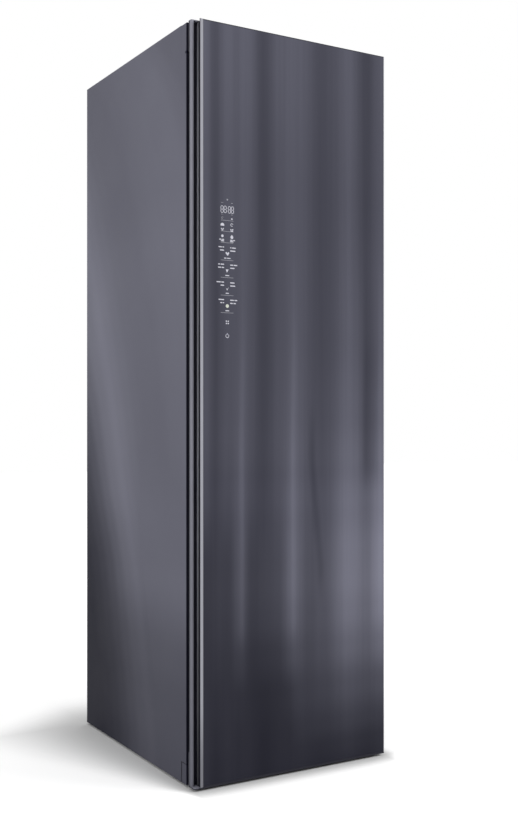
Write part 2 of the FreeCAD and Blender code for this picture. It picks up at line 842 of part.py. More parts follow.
def door_stiles():
    """The edges of the door: a left one with the lip and floor of the finger channel, a right one."""
    left = new_body("DoorLeftStile")
    section = sketch_on(left, "XY_Plane", "core_bottom")
    door_profile(section, [
        ("0", "gasket_gap"),
        ("0", "lip_front"),
        ("lip_width", "lip_front"),
        ("lip_width", "channel_floor"),
        ("trim_end - leg_lean + seam", "channel_floor"),
        ("trim_end + 2 * seam", "stile_front"),
        ("stile_width", "stile_front"),
        ("stile_width", "gasket_gap"),
    ])
    pad(left, section, "core_top - core_bottom")
    middle = (size.core_bottom + size.core_top) / 2
    edge = -size.half_width
    fillet(left, "lip_radius", [(edge, size.body_front - size.lip_front, middle)])
    fillet(left, "lip_radius / 4", [
        (edge + size.lip_width, size.body_front - size.lip_front, middle),
        (edge, size.body_front - size.gasket_gap, middle),
    ])

    right = new_body("DoorRightStile")
    section = sketch_on(right, "XY_Plane", "core_bottom")
    outer = "overall_width - seam"
    inner = "overall_width - side_trim_width - seam"
    door_profile(section, [
        ("right_stile_start", "gasket_gap"),
        ("right_stile_start", "stile_front"),
        (inner, "stile_front"),
        (inner, "side_trim_back - seam"),
        (outer, "side_trim_back - seam"),
        (outer, "gasket_gap"),
    ])
    pad(right, section, "core_top - core_bottom")
    right_edge = size.half_width - size.seam
    fillet(right, "lip_radius / 2", [(right_edge, size.body_front - size.gasket_gap, middle)])
    node("door_stiles", grouped("DoorStiles", [left, right]))


def door_trims():
    """The polished edge strip, the aluminium grip leaf behind it, and the strip on the right."""
    edge = new_body("EdgeStrip")
    section = sketch_on(edge, "XY_Plane", "door_bottom")
    door_profile(section, [
        ("trim_start", "door_depth - trim_gauge"),
        ("trim_start", "door_depth"),
        ("trim_end", "door_depth"),
        ("trim_end", "door_depth - trim_gauge"),
    ])
    pad(edge, section, "door_top - door_bottom")
    middle = (size.door_bottom + size.door_top) / 2
    left = -size.half_width + size.trim_start
    fillet(edge, "trim_gauge / 4", [(left, size.door_front, middle)])

    leaf = new_body("GripLeaf")
    section = sketch_on(leaf, "XY_Plane", "door_bottom")
    door_profile(section, [
        ("trim_end - leg_lean - leg_gauge", "leg_foot"),
        ("trim_end - leg_gauge", "door_depth - trim_gauge"),
        ("trim_end", "door_depth - trim_gauge"),
        ("trim_end - leg_lean", "leg_foot"),
    ])
    pad(leaf, section, "door_top - cap_web - seam - door_bottom")

    strip = new_body("SideTrim")
    section = sketch_on(strip, "XY_Plane", "door_bottom")
    door_profile(section, [
        ("overall_width - side_trim_width", "side_trim_back"),
        ("overall_width - side_trim_width", "door_depth - 0.5"),
        ("overall_width", "door_depth - 0.5"),
        ("overall_width", "side_trim_back"),
    ])
    pad(strip, section, "door_top - door_bottom")
    fillet(strip, "side_trim_width / 3", [(size.half_width, size.door_front + 0.5, middle)])
    node("door_trims", grouped("DoorTrims", [edge, leaf, strip]))


def cap_corner(name, low, high, lip_low, lip_high):
    """The left block of a door cap, with its end of the finger channel."""
    corner = new_body(name)
    section = sketch_on(corner, "XY_Plane", low)
    door_profile(section, [
        ("0", "cap_back"),
        ("0", "lip_front"),
        ("lip_width", "lip_front"),
        ("lip_width", "channel_floor"),
        ("trim_end - leg_lean + seam", "channel_floor"),
        ("trim_end + 2 * seam", "stile_front"),
        ("stile_width", "stile_front"),
        ("stile_width", "cap_back"),
    ])
    pad(corner, section, f"({high}) - ({low})")
    middle = {"TopCapCorner": size.door_top - 20, "BottomCapCorner": size.door_bottom + 20}[name]
    fillet(corner, "lip_radius", [(-size.half_width, size.body_front - size.lip_front, middle)])
    fillet(corner, "lip_radius / 2", [(-size.half_width, size.body_front - size.cap_back, middle)])
    lip = sketch_on(corner, "XY_Plane", lip_low)
    rectangle(lip, ("-half_width + trim_end + 2 * seam", "-half_width + stile_width"),
              ("door_front + 1", "body_front - stile_front"))
    pad(corner, lip, f"({lip_high}) - ({lip_low})")
    return corner


def door_cap(name, low, high, recess_low, recess_high, lip_low, lip_high, bore_low, bore_length):
    """A moulded end of the door beside its corner: the end of the right stile and the hinge recess."""
    cap = new_body(name)
    section = sketch_on(cap, "XY_Plane", low)
    outer = "overall_width - seam"
    inner = "overall_width - side_trim_width - seam"
    door_profile(section, [
        ("stile_width", "cap_back"),
        ("stile_width", "stile_front"),
        (inner, "stile_front"),
        (inner, "side_trim_back - seam"),
        (outer, "side_trim_back - seam"),
        (outer, "cap_back"),
    ])
    pad(cap, section, f"({high}) - ({low})")
    middle = {"DoorTopCap": size.door_top - 20, "DoorBottomCap": size.door_bottom + 20}[name]
    fillet(cap, "lip_radius / 2", [(size.half_width - size.seam, size.body_front - size.cap_back, middle)])
    lip = sketch_on(cap, "XY_Plane", lip_low)
    rectangle(lip, ("-half_width + stile_width", "half_width - side_trim_width - seam"),
              ("door_front + 1", "body_front - stile_front"))
    pad(cap, lip, f"({lip_high}) - ({lip_low})")
    hinge_recess(cap, recess_low, recess_high)
    bore = sketch_on(cap, "XY_Plane", bore_low)
    circle(bore, "bush_radius + running_fit", "hinge_x", "hinge_y")
    pocket(cap, bore, bore_length, reverse=True)
    return cap


def hinge_recess(piece, low, high):
    """Clears the hinge arm at the right end of a cap or of the sill."""
    recess = sketch_on(piece, "XY_Plane", low)
    rectangle(recess, ("hinge_x - arm_end_radius - 1.5", "half_width + 1"),
              ("hinge_y - arm_end_radius - 3.5", "body_front"))
    pocket(piece, recess, f"({high}) - ({low})", reverse=True)


def door_caps():
    """The two ends of the door, the plug over the channel's top and the dark sill underneath."""
    depth = "pin_length + 2"
    lip = ("door_top - glass_end_inset + seam", "door_top")
    cap = door_cap("DoorTopCap", "core_top", "door_top", "door_top - upper_arm_recess", "door_top + 1",
                   *lip, f"door_top - upper_arm_recess - ({depth})", depth)
    corner = cap_corner("TopCapCorner", "core_top", "door_top", *lip)
    plug = box("ChannelPlug", ("-half_width + lip_width", "-half_width + trim_end - leg_lean + seam"),
               ("body_front - lip_front", "body_front - channel_floor"), ("door_top - cap_web", "door_top"))
    node("door_top_cap", grouped("TopCapPieces", [cap, corner, plug]))

    lip = ("door_bottom", "door_bottom + glass_end_inset - seam")
    recess_top = "floor_gap + lower_arm_recess"
    cap = door_cap("DoorBottomCap", "door_bottom", "core_bottom", "floor_gap - 1", recess_top,
                   *lip, recess_top, depth)
    corner = cap_corner("BottomCapCorner", "door_bottom", "core_bottom", *lip)
    sill = new_body("DoorSill")
    plate = sketch_on(sill, "XY_Plane", "floor_gap")
    rectangle(plate, ("-half_width", "half_width - seam"),
              ("door_front + seam", "body_front - cap_back - lip_radius"))
    pad(sill, plate, "sill_gauge")
    fillet(sill, "lip_radius", [
        (-size.half_width, size.door_front + size.seam, size.door_bottom - size.sill_gauge / 2),
    ])
    hinge_recess(sill, "floor_gap - 1", recess_top)
    node("door_bottom_cap", grouped("BottomCapPieces", [cap, corner, sill]))


def door_faces():
    """The tinted glass front and the moulded inner liner with its raised plug."""
    glass = box("DoorGlass", ("-half_width + trim_end + seam", "half_width - side_trim_width - 0.5"),
                ("door_front + glass_recess", "door_front + glass_recess + glass_gauge"),
                ("door_bottom + glass_end_inset", "door_top - glass_end_inset"))
    node("door_glass", glass)
    liner = new_body("DoorLiner")
    rim = sketch_on(liner, "XZ_Plane", "gasket_gap - body_front")
    rectangle(rim, ("-half_width + stile_width + seam", "-half_width + right_stile_start - seam"),
              ("core_bottom + seam", "core_top - seam"))
    pad(liner, rim, "liner_gauge")
    plug = sketch_on(liner, "XZ_Plane", "gasket_gap - body_front")
    z = ("cavity_floor + plug_sill_gap", "cavity_ceiling - plug_top_gap")
    rectangle(plug, ("-plug_half_width", "plug_half_width"), z)
    pad(liner, plug, "plug_depth", reverse=True)
    face_y = size.body_front - size.gasket_gap + size.plug_depth
    low = size.cavity_floor + size.plug_sill_gap
    high = size.cavity_ceiling - size.plug_top_gap
    middle = (low + high) / 2
    half_depth = face_y - size.plug_depth / 2
    fillet(liner, "plug_radius", [
        (-size.plug_half_width, face_y, middle),
        (size.plug_half_width, face_y, middle),
        (0, face_y, low),
        (0, face_y, high),
        (-size.plug_half_width, half_depth, low),
        (size.plug_half_width, half_depth, low),
        (-size.plug_half_width, half_depth, high),
        (size.plug_half_width, half_depth, high),
    ])
    hollow = sketch_on(liner, "XZ_Plane", "gasket_gap + liner_gauge - body_front")
    rectangle(hollow, ("-plug_half_width + 9", "plug_half_width - 9"), (f"{z[0]} + 9", f"{z[1]} - 9"))
    pocket(liner, hollow, "plug_depth")
    node("door_liner", liner)


def door_filling():
    """The foam core between the stiles, cut away for the display module behind the glass."""
    slab = box("CoreSlab", ("-half_width + stile_width + seam", "-half_width + right_stile_start - seam"),
               ("door_front + glass_back", "body_front - gasket_gap - liner_gauge - seam"),
               ("core_bottom + seam", "core_top - seam"))
    liner_back = "body_front - gasket_gap - liner_gauge - 1"
    plug = box("CorePlug", ("-plug_half_width + 10", "plug_half_width - 10"),
               (liner_back, f"{liner_back} + plug_depth"),
               ("cavity_floor + plug_sill_gap + 10", "cavity_ceiling - plug_top_gap - 10"))
    x = ("-half_width + display_inset", "-half_width + display_inset + display_width")
    z = ("core_top - display_drop - display_height", "core_top - display_drop")
    space = box("DisplaySpace", x, ("door_front", "door_front + glass_back + display_depth + 1"), z)
    node("door_core", cut("DoorCore", joined("CoreBlock", [slab, plug]), [space]))

    module = new_body("DisplayModule")
    back = "-door_front - glass_back - display_depth"
    case = sketch_on(module, "XZ_Plane", back)
    rectangle(case, (f"{x[0]} + 2", f"{x[1]} - 2"), (f"{z[0]} + 2", f"{z[1]} - 2"))
    pad(module, case, "display_depth")
    recess = sketch_on(module, "XZ_Plane", back)
    rectangle(recess, (f"{x[0]} + 8", f"{x[1]} - 8"), (f"{z[0]} + 8", f"{z[0]} + 80"))
    window = pocket(module, recess, "8", reverse=True)
    row(module, window, "Z_Axis", "display_height - 97", 5)
    node("display_module", module)


def gasket():
    """The magnetic rubber seal on the back of the door, round both openings behind it."""
    seal = new_body("DoorGasket")
    low = "door_bottom + 15"
    high = "frame_top - 8"
    left = "-half_width + gasket_inset"
    right = "hinge_x - 2"
    sill = "cavity_floor - 3"
    for across, back, front in (("0", "4 + seam", "cap_back - seam"), ("3", "seam", "4 + seam")):
        layer = sketch_on(seal, "XZ_Plane", f"-body_front + {back}")
        rectangle(layer, (f"{left} + {across}", f"{right} - {across}"),
                  (f"{low} + {across}", f"{high} - {across}"))
        inner = (f"{left} + gasket_width - {across}", f"{right} - gasket_width + {across}")
        rectangle(layer, inner, (f"{low} + gasket_width - {across}", f"{sill} - gasket_width + {across}"))
        rectangle(layer, inner, (f"{sill} - {across}", f"{high} - gasket_width + {across}"))
        pad(seal, layer, f"({front}) - ({back})")
    seat = sketch_on(seal, "XZ_Plane", "-body_front + cap_back - seam")
    for x in ((f"{left} + 3", f"{left} + gasket_width - 3"), (f"{right} - gasket_width + 3", f"{right} - 3")):
        rectangle(seat, x, ("core_bottom + seam", "core_top - seam"))
    rectangle(seat, (f"{left} + gasket_width", f"{right} - gasket_width"),
              (f"{sill} - gasket_width + 3", f"{sill} - 3"))
    pad(seal, seat, "gasket_gap - cap_back")
    node("door_gasket", seal)


def hinges():
    """Steel brackets with fixed pins on the cabinet, and bushes in the door."""
    brackets = []
    for name, low, pin_start in (
        ("Upper", "frame_top", "frame_top - pin_length"),
        ("Lower", "pan_bottom - arm_gauge", "pan_bottom"),
    ):
        base = box(f"{name}Base", ("hinge_x - 40", "hinge_x + arm_half_width"),
                   ("body_front + 1", "body_front + 40"), (low, f"{low} + arm_gauge"))
        neck = box(f"{name}Neck", ("hinge_x - arm_half_width", "hinge_x + arm_half_width"),
                   ("hinge_y", "body_front + 1"), (low, f"{low} + arm_gauge"))
        end = cylinder(f"{name}End", "arm_end_radius", "arm_gauge", ("hinge_x", "hinge_y", low))
        pin = cylinder(f"{name}Pin", "pin_radius", "pin_length", ("hinge_x", "hinge_y", pin_start))
        brackets.append(joined(f"{name}Hinge", [base, neck, end, pin]))
    node("hinge_brackets", grouped("HingeBrackets", brackets))

    bushes = []
    for name, low, flange in (
        ("Upper", "door_top - upper_arm_recess - pin_length + 1", "door_top - upper_arm_recess"),
        ("Lower", "floor_gap + lower_arm_recess", "pan_bottom + seam"),
    ):
        sleeve = cylinder(f"{name}Sleeve", "bush_radius", "pin_length - 1", ("hinge_x", "hinge_y", low))
        thick = {"Upper": "frame_top - seam - (door_top - upper_arm_recess)",
                 "Lower": "floor_gap + lower_arm_recess - (pan_bottom + seam)"}[name]
        washer = cylinder(f"{name}Washer", "bush_radius", thick, ("hinge_x", "hinge_y", flange))
        bore = cylinder(f"{name}Bore", "pin_radius + running_fit", "3 * pin_length",
                        ("hinge_x", "hinge_y", f"{low} - pin_length"))
        bushes.append(cut(f"{name}Bush", joined(f"{name}BushBlank", [sleeve, washer]), [bore]))
    node("hinge_bushes", grouped("HingeBushes", bushes))


# ---------------------------------------------------------------- garment shaker

def shaker_frame():
    """The steel tray above the ceiling with its rod blocks, and the two guide rods."""
    tray_z = "cavity_ceiling + 6"
    plate = box("TrayPlate", ("-rod_half_length", "rod_half_length"), ("-125", "rod_offset + 25"),
                (tray_z, f"{tray_z} + 2"))
    parts = [plate]
    for side, block_x in (
        ("Left", ("-rod_half_length", "-rod_half_length + 14")),
        ("Right", ("rod_half_length - 14", "rod_half_length")),
    ):
        for end, middle, foot_y in (("Front", "-rod_offset", "-105"), ("Rear", "rod_offset", "rod_offset")):
            parts.append(box(f"RodBlock{side}{end}", block_x, (f"{middle} - 9", f"{middle} + 9"),
                             (f"{tray_z} + 2", "rod_z + 10")))
            parts.append(box(f"TrayFoot{side}{end}", block_x, (f"{foot_y} - 7", f"{foot_y} + 7"),
                             ("cavity_ceiling + 3", tray_z)))
    tools = post_slots("Tray", tray_z, 2)
    for rod_side in (-1, 1):
        tools.append(cylinder(f"RodHole{rod_side + 1}", "rod_radius + running_fit", "2 * rod_half_length + 2",
                              ("-rod_half_length - 1", f"{rod_side} * rod_offset", "rod_z"), "X"))
    tray = cut("ShakerTray", joined("TrayBlock", parts), tools)
    rods = [
        cylinder(f"Rod{rod_side + 1}", "rod_radius", "2 * rod_half_length - 1",
                 ("-rod_half_length + 0.5", f"{rod_side} * rod_offset", "rod_z"), "X")
        for rod_side in (-1, 1)
    ]
    node("shaker_tray", grouped("TrayAndRods", [tray] + rods))


def rack_shape():
    """A straight rack along X: trapezoid teeth that point to the front, on a back bar."""
    module = size.tooth_module
    pitch = math.pi * module
    half_tooth = pitch / 4 - size.backlash / 4
    slope = math.tan(math.radians(20))
    root = 1.25 * module
    tip = module
    length = size.rack_teeth * pitch
    points = [Vector(length / 2, root + 5, 0), Vector(-length / 2, root + 5, 0), Vector(-length / 2, root, 0)]
    for tooth in range(int(size.rack_teeth)):
        middle = (tooth - (size.rack_teeth - 1) / 2) * pitch
        points += [
            Vector(middle - half_tooth - root * slope, root, 0),
            Vector(middle - half_tooth + tip * slope, -tip, 0),
            Vector(middle + half_tooth - tip * slope, -tip, 0),
            Vector(middle + half_tooth + root * slope, root, 0),
        ]
    points.append(Vector(length / 2, root, 0))
    face = Part.Face(Part.makePolygon(points + points[:1]))
    return face.extrude(Vector(0, 0, size.gear_width + 2))


def pinion_shape():
    """Involute teeth of the rack's module round a bore, with a tooth space towards the rack."""
    teeth = int(size.pinion_teeth)
    module = size.tooth_module
    pitch_radius = size.pinion_radius
    base_radius = pitch_radius * math.cos(math.radians(20))
    root_radius = pitch_radius - 1.25 * module
    tip_radius = pitch_radius + module

    def involute(radius):
        roll = math.sqrt(max((radius / base_radius) ** 2 - 1, 0))
        return roll - math.atan(roll)

    half_tooth = (math.pi * module / 2 - size.backlash / 2) / (2 * pitch_radius) + involute(pitch_radius)

    def point(radius, angle):
        return Vector(radius * math.cos(angle), radius * math.sin(angle), 0)

    flank = (base_radius, (base_radius + tip_radius) / 2, tip_radius)
    edges = []
    for tooth in range(teeth):
        middle = math.tau * tooth / teeth + math.pi / 2 + math.pi / teeth
        rise = [point(radius, middle - half_tooth + involute(radius)) for radius in flank]
        fall = [point(radius, middle + half_tooth - involute(radius)) for radius in reversed(flank)]
        start = point(root_radius, middle - half_tooth)
        finish = point(root_radius, middle + half_tooth)
        following = point(root_radius, middle + math.tau / teeth - half_tooth)
        edges += [
            Part.LineSegment(start, rise[0]).toShape(),
            Part.Arc(*rise).toShape(),
            Part.LineSegment(rise[-1], fall[0]).toShape(),
            Part.Arc(*fall).toShape(),
            Part.LineSegment(fall[-1], finish).toShape(),
            Part.LineSegment(finish, following).toShape(),
        ]
    gear = Part.Face(Part.Wire(edges)).extrude(Vector(0, 0, size.gear_width))
    shaft = Part.makeCylinder(3, size.gear_width + 16, Vector(0, 0, 0))
    hub = Part.makeCylinder(8, 4, Vector(0, 0, size.gear_width))
    return gear.fuse([hub, shaft])


def shaker_drive():
    """The gearmotor over the tray, and its pinion and rack."""
    node("shaker_pinion", from_shape("ShakerPinion", pinion_shape(), ("0", "pinion_y", "rack_z + 1.5")))
    low = "rod_z + 12"
    case = box("GearCase", ("-35", "35"), ("pinion_y - 34", "pinion_y + 12"), (low, f"{low} + 13"))
    motor = cylinder("ShakerMotor", "17", "12", ("8", "pinion_y - 14", f"{low} + 13"))
    legs = [
        box(f"MotorLeg{side}{end}", (f"{x} - 4", f"{x} + 4"),
            (f"pinion_y - {back} - 4", f"pinion_y - {back} + 4"), ("cavity_ceiling + 8", low))
        for side, x in (("Left", -29), ("Right", 29))
        for end, back in (("Front", 26), ("Rear", 0))
    ]
    bore = cylinder("MotorBore", "3 + running_fit", "11", ("0", "pinion_y", f"{low} - 1"))
    node("shaker_gearmotor", cut("ShakerGearmotor", joined("MotorBlock", [case, motor] + legs), [bore]))


def shaker_carriage():
    """The shaking part: bearing blocks on the rods, the rack, two posts and the hanger rail."""
    plate = box("CarriagePlate", ("-110", "110"), ("rack_root_y + 1", "rod_offset + 9"),
                ("rack_z - 6", "rack_z"))
    parts = [plate]
    bores = []
    for rod_side in (-1, 1):
        for side in (-1, 1):
            middle = f"{side} * 93"
            parts.append(box(f"Bearing{side + 1}{rod_side + 1}", (f"{middle} - 16", f"{middle} + 16"),
                             (f"{rod_side} * rod_offset - 9", f"{rod_side} * rod_offset + 9"),
                             ("rack_z - 6", "rod_z + 9")))
        bores.append(cylinder(f"BearingBore{rod_side + 1}", "rod_radius + running_fit", "230",
                              ("-115", f"{rod_side} * rod_offset", "rod_z"), "X"))
    for index, x in enumerate(("-post_offset", "post_offset")):
        parts.append(cylinder(f"Post{index}", "post_radius", "rack_z - rail_top", (x, "0", "rail_top")))
    node("shaker_carriage", cut("ShakerCarriage", joined("CarriageBlock", parts), bores))
    node("shaker_rack", from_shape("ShakerRack", rack_shape(), ("0", "rack_pitch_y", "rack_z")))

    rail = new_body("HangerRail", ("0", "0", "rail_top - rail_depth / 2"))
    section = sketch_on(rail, "YZ_Plane", "-rail_length / 2")
    rectangle(section, ("-rail_width / 2", "rail_width / 2"), ("-rail_depth / 2", "rail_depth / 2"))
    pad(rail, section, "rail_length")
    half_width = size.rail_width / 2
    half_depth = size.rail_depth / 2
    fillet(rail, "rail_depth * 0.4", [
        (0, y, z) for y in (-half_width, half_width) for z in (-half_depth, half_depth)
    ])
    notch = sketch_on(rail, "XZ_Plane", "-rail_width / 2 - 1")
    start = "-notch_pitch * (notch_count - 1) / 2"
    outline(notch, [
        (f"{start} - notch_width / 2 - notch_depth", "rail_depth / 2 + 0.01"),
        (f"{start} - notch_width / 2", "rail_depth / 2 - notch_depth"),
        (f"{start} + notch_width / 2", "rail_depth / 2 - notch_depth"),
        (f"{start} + notch_width / 2 + notch_depth", "rail_depth / 2 + 0.01"),
    ])
    notch_cut = pocket(rail, notch, "rail_width + 2", reverse=True)
    row(rail, notch_cut, "X_Axis", "notch_pitch * (notch_count - 1)", "notch_count")
    node("hanger_rail", rail)


def ceiling_light():
    """A light bar with a rounded diffuser, on the ceiling near the door."""
    light = new_body("CeilingLight", ("0", "body_front + light_inset", "cavity_ceiling"))
    base = sketch_on(light, "YZ_Plane", "-light_length / 2")
    outline(base, [("-14", "0"), ("-10", "-light_depth"), ("10", "-light_depth"), ("14", "0")])
    pad(light, base, "light_length")
    fillet(light, "light_depth / 3", [(0, y, -size.light_depth) for y in (-10, 10)])
    node("ceiling_light", light)


# ---------------------------------------------------------------- shelf and removables

def shelf():
    """A lift-out slotted shelf that rests on the liners' ledges."""
    body = new_body("Shelf", ("0", "0", "shelf_height"))
    half = "cavity_half - shelf_side_gap"
    rear_y = "cavity_back - 46"
    plate = sketch_on(body, "XY_Plane")
    rectangle(plate, (f"-({half})", half), (f"{rear_y} - shelf_depth", rear_y))
    pad(body, plate, "shelf_thick")
    slot = sketch_on(body, "XY_Plane", "-1")
    rectangle(slot, (f"-({half}) + 18", f"-({half}) + 30"),
              (f"{rear_y} - shelf_depth + 25", f"{rear_y} - 25"))
    slot_cut = pocket(body, slot, "shelf_thick + 2", reverse=True)
    row(body, slot_cut, "X_Axis", f"2 * ({half}) - 48", "shelf_slots")
    node("garment_shelf", body)


def tank(label, x):
    """A hollow water tank with a filler opening, handle ears, and a valve under it."""
    name = label.title().replace("_", "")
    body = new_body(name, (x, "tank_centre_y", "tank_shelf_top + seam"))
    half = "tank_side / 2"
    base = sketch_on(body, "XY_Plane")
    rectangle(base, (f"-{half}", half), (f"-{half}", half))
    pad(body, base, "tank_height")
    corner = size.tank_side / 2
    fillet(body, "tank_radius", [
        (i, j, size.tank_height / 2) for i in (-corner, corner) for j in (-corner, corner)
    ])
    for x_side in ("-1", "1"):
        ear = sketch_on(body, "YZ_Plane", f"{x_side} * 60 - 3")
        outline(ear, [
            ("22", "tank_height"),
            ("38", "tank_height"),
            ("36", "tank_height + 11"),
            ("24", "tank_height + 11"),
        ])
        pad(body, ear, "6")
    rim = sketch_on(body, "XY_Plane", "tank_height")
    rectangle(rim, ("-27", "27"), ("-38", "12"))
    pad(body, rim, "2")
    valve = sketch_on(body, "XY_Plane")
    circle(valve, "8", "0", "40")
    pad(body, valve, "7", reverse=True)
    hollow = sketch_on(body, "XY_Plane", "tank_wall")
    inner = f"{half} - tank_wall"
    cut_in = f"{inner} - tank_radius / 2"
    outline(hollow, [
        (f"-({inner})", f"-({cut_in})"), (f"-({cut_in})", f"-({inner})"),
        (cut_in, f"-({inner})"), (inner, f"-({cut_in})"),
        (inner, cut_in), (cut_in, inner),
        (f"-({cut_in})", inner), (f"-({inner})", cut_in),
    ])
    pocket(body, hollow, "tank_height - 2 * tank_wall", reverse=True)
    mouth = sketch_on(body, "XY_Plane", "tank_height - tank_wall - 1")
    rectangle(mouth, ("-25", "25"), ("-36", "10"))
    pocket(body, mouth, "tank_wall + 4", reverse=True)
    pivot = sketch_on(body, "YZ_Plane", "-65")
    circle(pivot, "3 + running_fit", "30", "tank_height + 6")
    pocket(body, pivot, "130", reverse=True)
    node(label, body)


def tank_fittings(label, x):
    """The flip lid and the carrying bail of one tank."""
    name = label.title().replace("_", "")
    top = "tank_shelf_top + seam + tank_height"
    plate = box(f"{name}LidPlate", (f"{x} - 29", f"{x} + 29"), ("tank_centre_y - 40", "tank_centre_y + 13"),
                (f"{top} + 2 + seam", f"{top} + 5"))
    tab = box(f"{name}LidTab", (f"{x} - 9", f"{x} + 9"), ("tank_centre_y - 45", "tank_centre_y - 40"),
              (f"{top} + 2 + seam", f"{top} + 4"))
    node(f"{label}_lid", joined(f"{name}Lid", [plate, tab]))
    arms = [
        box(f"{name}Arm{side + 1}", (f"{x} + {side} * 53 - 3", f"{x} + {side} * 53 + 3"),
            ("tank_centre_y - 54", "tank_centre_y + 34"), (f"{top} + 2.5", f"{top} + 9.5"))
        for side in (-1, 1)
    ]
    grip = box(f"{name}Grip", (f"{x} - 56", f"{x} + 56"), ("tank_centre_y - 62", "tank_centre_y - 50"),
               (f"{top} + 2.5", f"{top} + 9.5"))
    pins = [
        cylinder(f"{name}Pin{side + 1}", "3", "7.5", (start, "tank_centre_y + 30", f"{top} + 6"), "X")
        for side, start in ((-1, f"{x} - 63"), (1, f"{x} + 55.5"))
    ]
    node(f"{label}_bail", joined(f"{name}Bail", arms + [grip] + pins))


def lint_filter():
    """A tapered basket with a flange that rests on the deck and a bar to lift it by."""
    half_x = "filter_width / 2"
    half_y = "filter_length / 2"
    body = new_body("LintFilter", ("0", "filter_centre_y", "cavity_floor + seam"))
    flange = sketch_on(body, "XY_Plane")
    rectangle(flange, (f"-{half_x} - 8", f"{half_x} + 8"), (f"-{half_y} - 8", f"{half_y} + 8"))
    pad(body, flange, "2.5")
    basket = sketch_on(body, "XY_Plane", "-filter_depth")
    rectangle(basket, (f"-{half_x}", half_x), (f"-{half_y}", half_y))
    pad(body, basket, "filter_depth")
    inside = sketch_on(body, "XY_Plane", "-filter_depth + 2")
    rectangle(inside, (f"-{half_x} + 2", f"{half_x} - 2"), (f"-{half_y} + 2", f"{half_y} - 2"))
    pocket(body, inside, "filter_depth + 4", reverse=True)
    window = sketch_on(body, "XY_Plane", "-filter_depth - 1")
    rectangle(window, (f"-{half_x} + 7", f"-{half_x} + 15"), (f"-{half_y} + 8", f"{half_y} - 8"))
    window_cut = pocket(body, window, "4", reverse=True)
    row(body, window_cut, "X_Axis", "filter_width - 22", 10)
    bar = sketch_on(body, "YZ_Plane", f"-{half_x} + 1")
    rectangle(bar, ("-5", "5"), ("-6", "-1"))
    pad(body, bar, "filter_width - 2")
    node("lint_filter", body)


def aroma_cassette():
    """A small slotted cassette that drops into the rear deck."""
    body = new_body("AromaCassette", ("aroma_x", "aroma_y", "cavity_floor + seam"))
    length = "aroma_half_length"
    width = "aroma_half_width"
    flange = sketch_on(body, "XY_Plane")
    rectangle(flange, (f"-{length} - 6", f"{length} + 6"), (f"-{width} - 6", f"{width} + 6"))
    pad(body, flange, "3")
    case = sketch_on(body, "XY_Plane")
    rectangle(case, (f"-{length}", length), (f"-{width}", width))
    pad(body, case, "aroma_depth", reverse=True)
    slot = sketch_on(body, "XY_Plane", "3")
    rectangle(slot, (f"-{length} + 4", f"-{length} + 8"), (f"-{width} + 4", f"{width} - 4"))
    slot_cut = pocket(body, slot, "6")
    row(body, slot_cut, "X_Axis", f"2 * {length} - 12", 6)
    node("aroma_cassette", body)


# ---------------------------------------------------------------- machinery

def tank_support():
    """A folded steel shelf under the tanks, on four posts."""
    x = ("-panel_inside + seam", "panel_inside - seam")
    y = ("body_front + 5", "tank_centre_y + tank_side / 2 + 12")
    plate = box("TankShelfPlate", x, y, ("tank_shelf_top - 2", "tank_shelf_top"))
    lips = [
        box("TankShelfFront", x, (y[0], f"{y[0]} + 2"), ("tank_shelf_top - 14", "tank_shelf_top - 2")),
        box("TankShelfRear", x, (f"{y[1]} - 2", y[1]), ("tank_shelf_top - 14", "tank_shelf_top - 2")),
    ]
    holes = [
        cylinder(f"ValveHole{side + 1}", "11", "4",
                 (f"{side} * tank_offset_x", "tank_centre_y + 40", "tank_shelf_top - 3"))
        for side in (-1, 1)
    ]
    shelf_sheet = cut("TankShelf", joined("TankShelfBlock", [plate] + lips), holes)
    post_x = "panel_inside - shelf_post_inset"
    posts = [
        box(f"ShelfPost{side}{end}", (f"{sign}({post_x}) - 9", f"{sign}({post_x}) + 9"),
            (f"{post_y} - 9", f"{post_y} + 9"), ("pan_top", "tank_shelf_top - 2"))
        for side, sign in (("Left", "-"), ("Right", ""))
        for end, post_y in (("Front", "body_front + 20"), ("Rear", "tank_centre_y + tank_side / 2"))
    ]
    node("tank_shelf", grouped("TankShelfAndPosts", [shelf_sheet] + posts))


def air_duct():
    """The heat pump's air duct: open to the filter above, and to the blower at the rear."""
    x = ("-duct_half_width", "duct_half_width")
    inner_x = ("-duct_half_width + duct_wall", "duct_half_width - duct_wall")
    collar_y = ("filter_centre_y - filter_length / 2 - 6", "filter_centre_y + filter_length / 2 + 6")
    outside = box("DuctOutside", x, ("duct_front", "duct_rear"), ("duct_bottom", "duct_top"))
    collar = box("DuctCollar", ("-filter_width / 2 - 6", "filter_width / 2 + 6"), collar_y,
                 ("duct_top", "deck_bottom - seam"))
    inside = box("DuctInside", inner_x, ("duct_front + duct_wall", "duct_rear - duct_wall"),
                 ("duct_bottom + duct_wall", "duct_top - duct_wall"))
    well = box("DuctWell", ("-filter_width / 2 - 4", "filter_width / 2 + 4"),
               (f"{collar_y[0]} + 2", f"{collar_y[1]} - 2"), ("duct_top - 2 * duct_wall", "cavity_floor"))
    outlet = cylinder("DuctOutlet", "inlet_radius", "3 * duct_wall",
                      ("fan_x", "duct_rear - 2 * duct_wall", "fan_z"), "Y")
    node("air_duct", cut("AirDuct", joined("DuctBlock", [outside, collar]), [inside, well, outlet]))


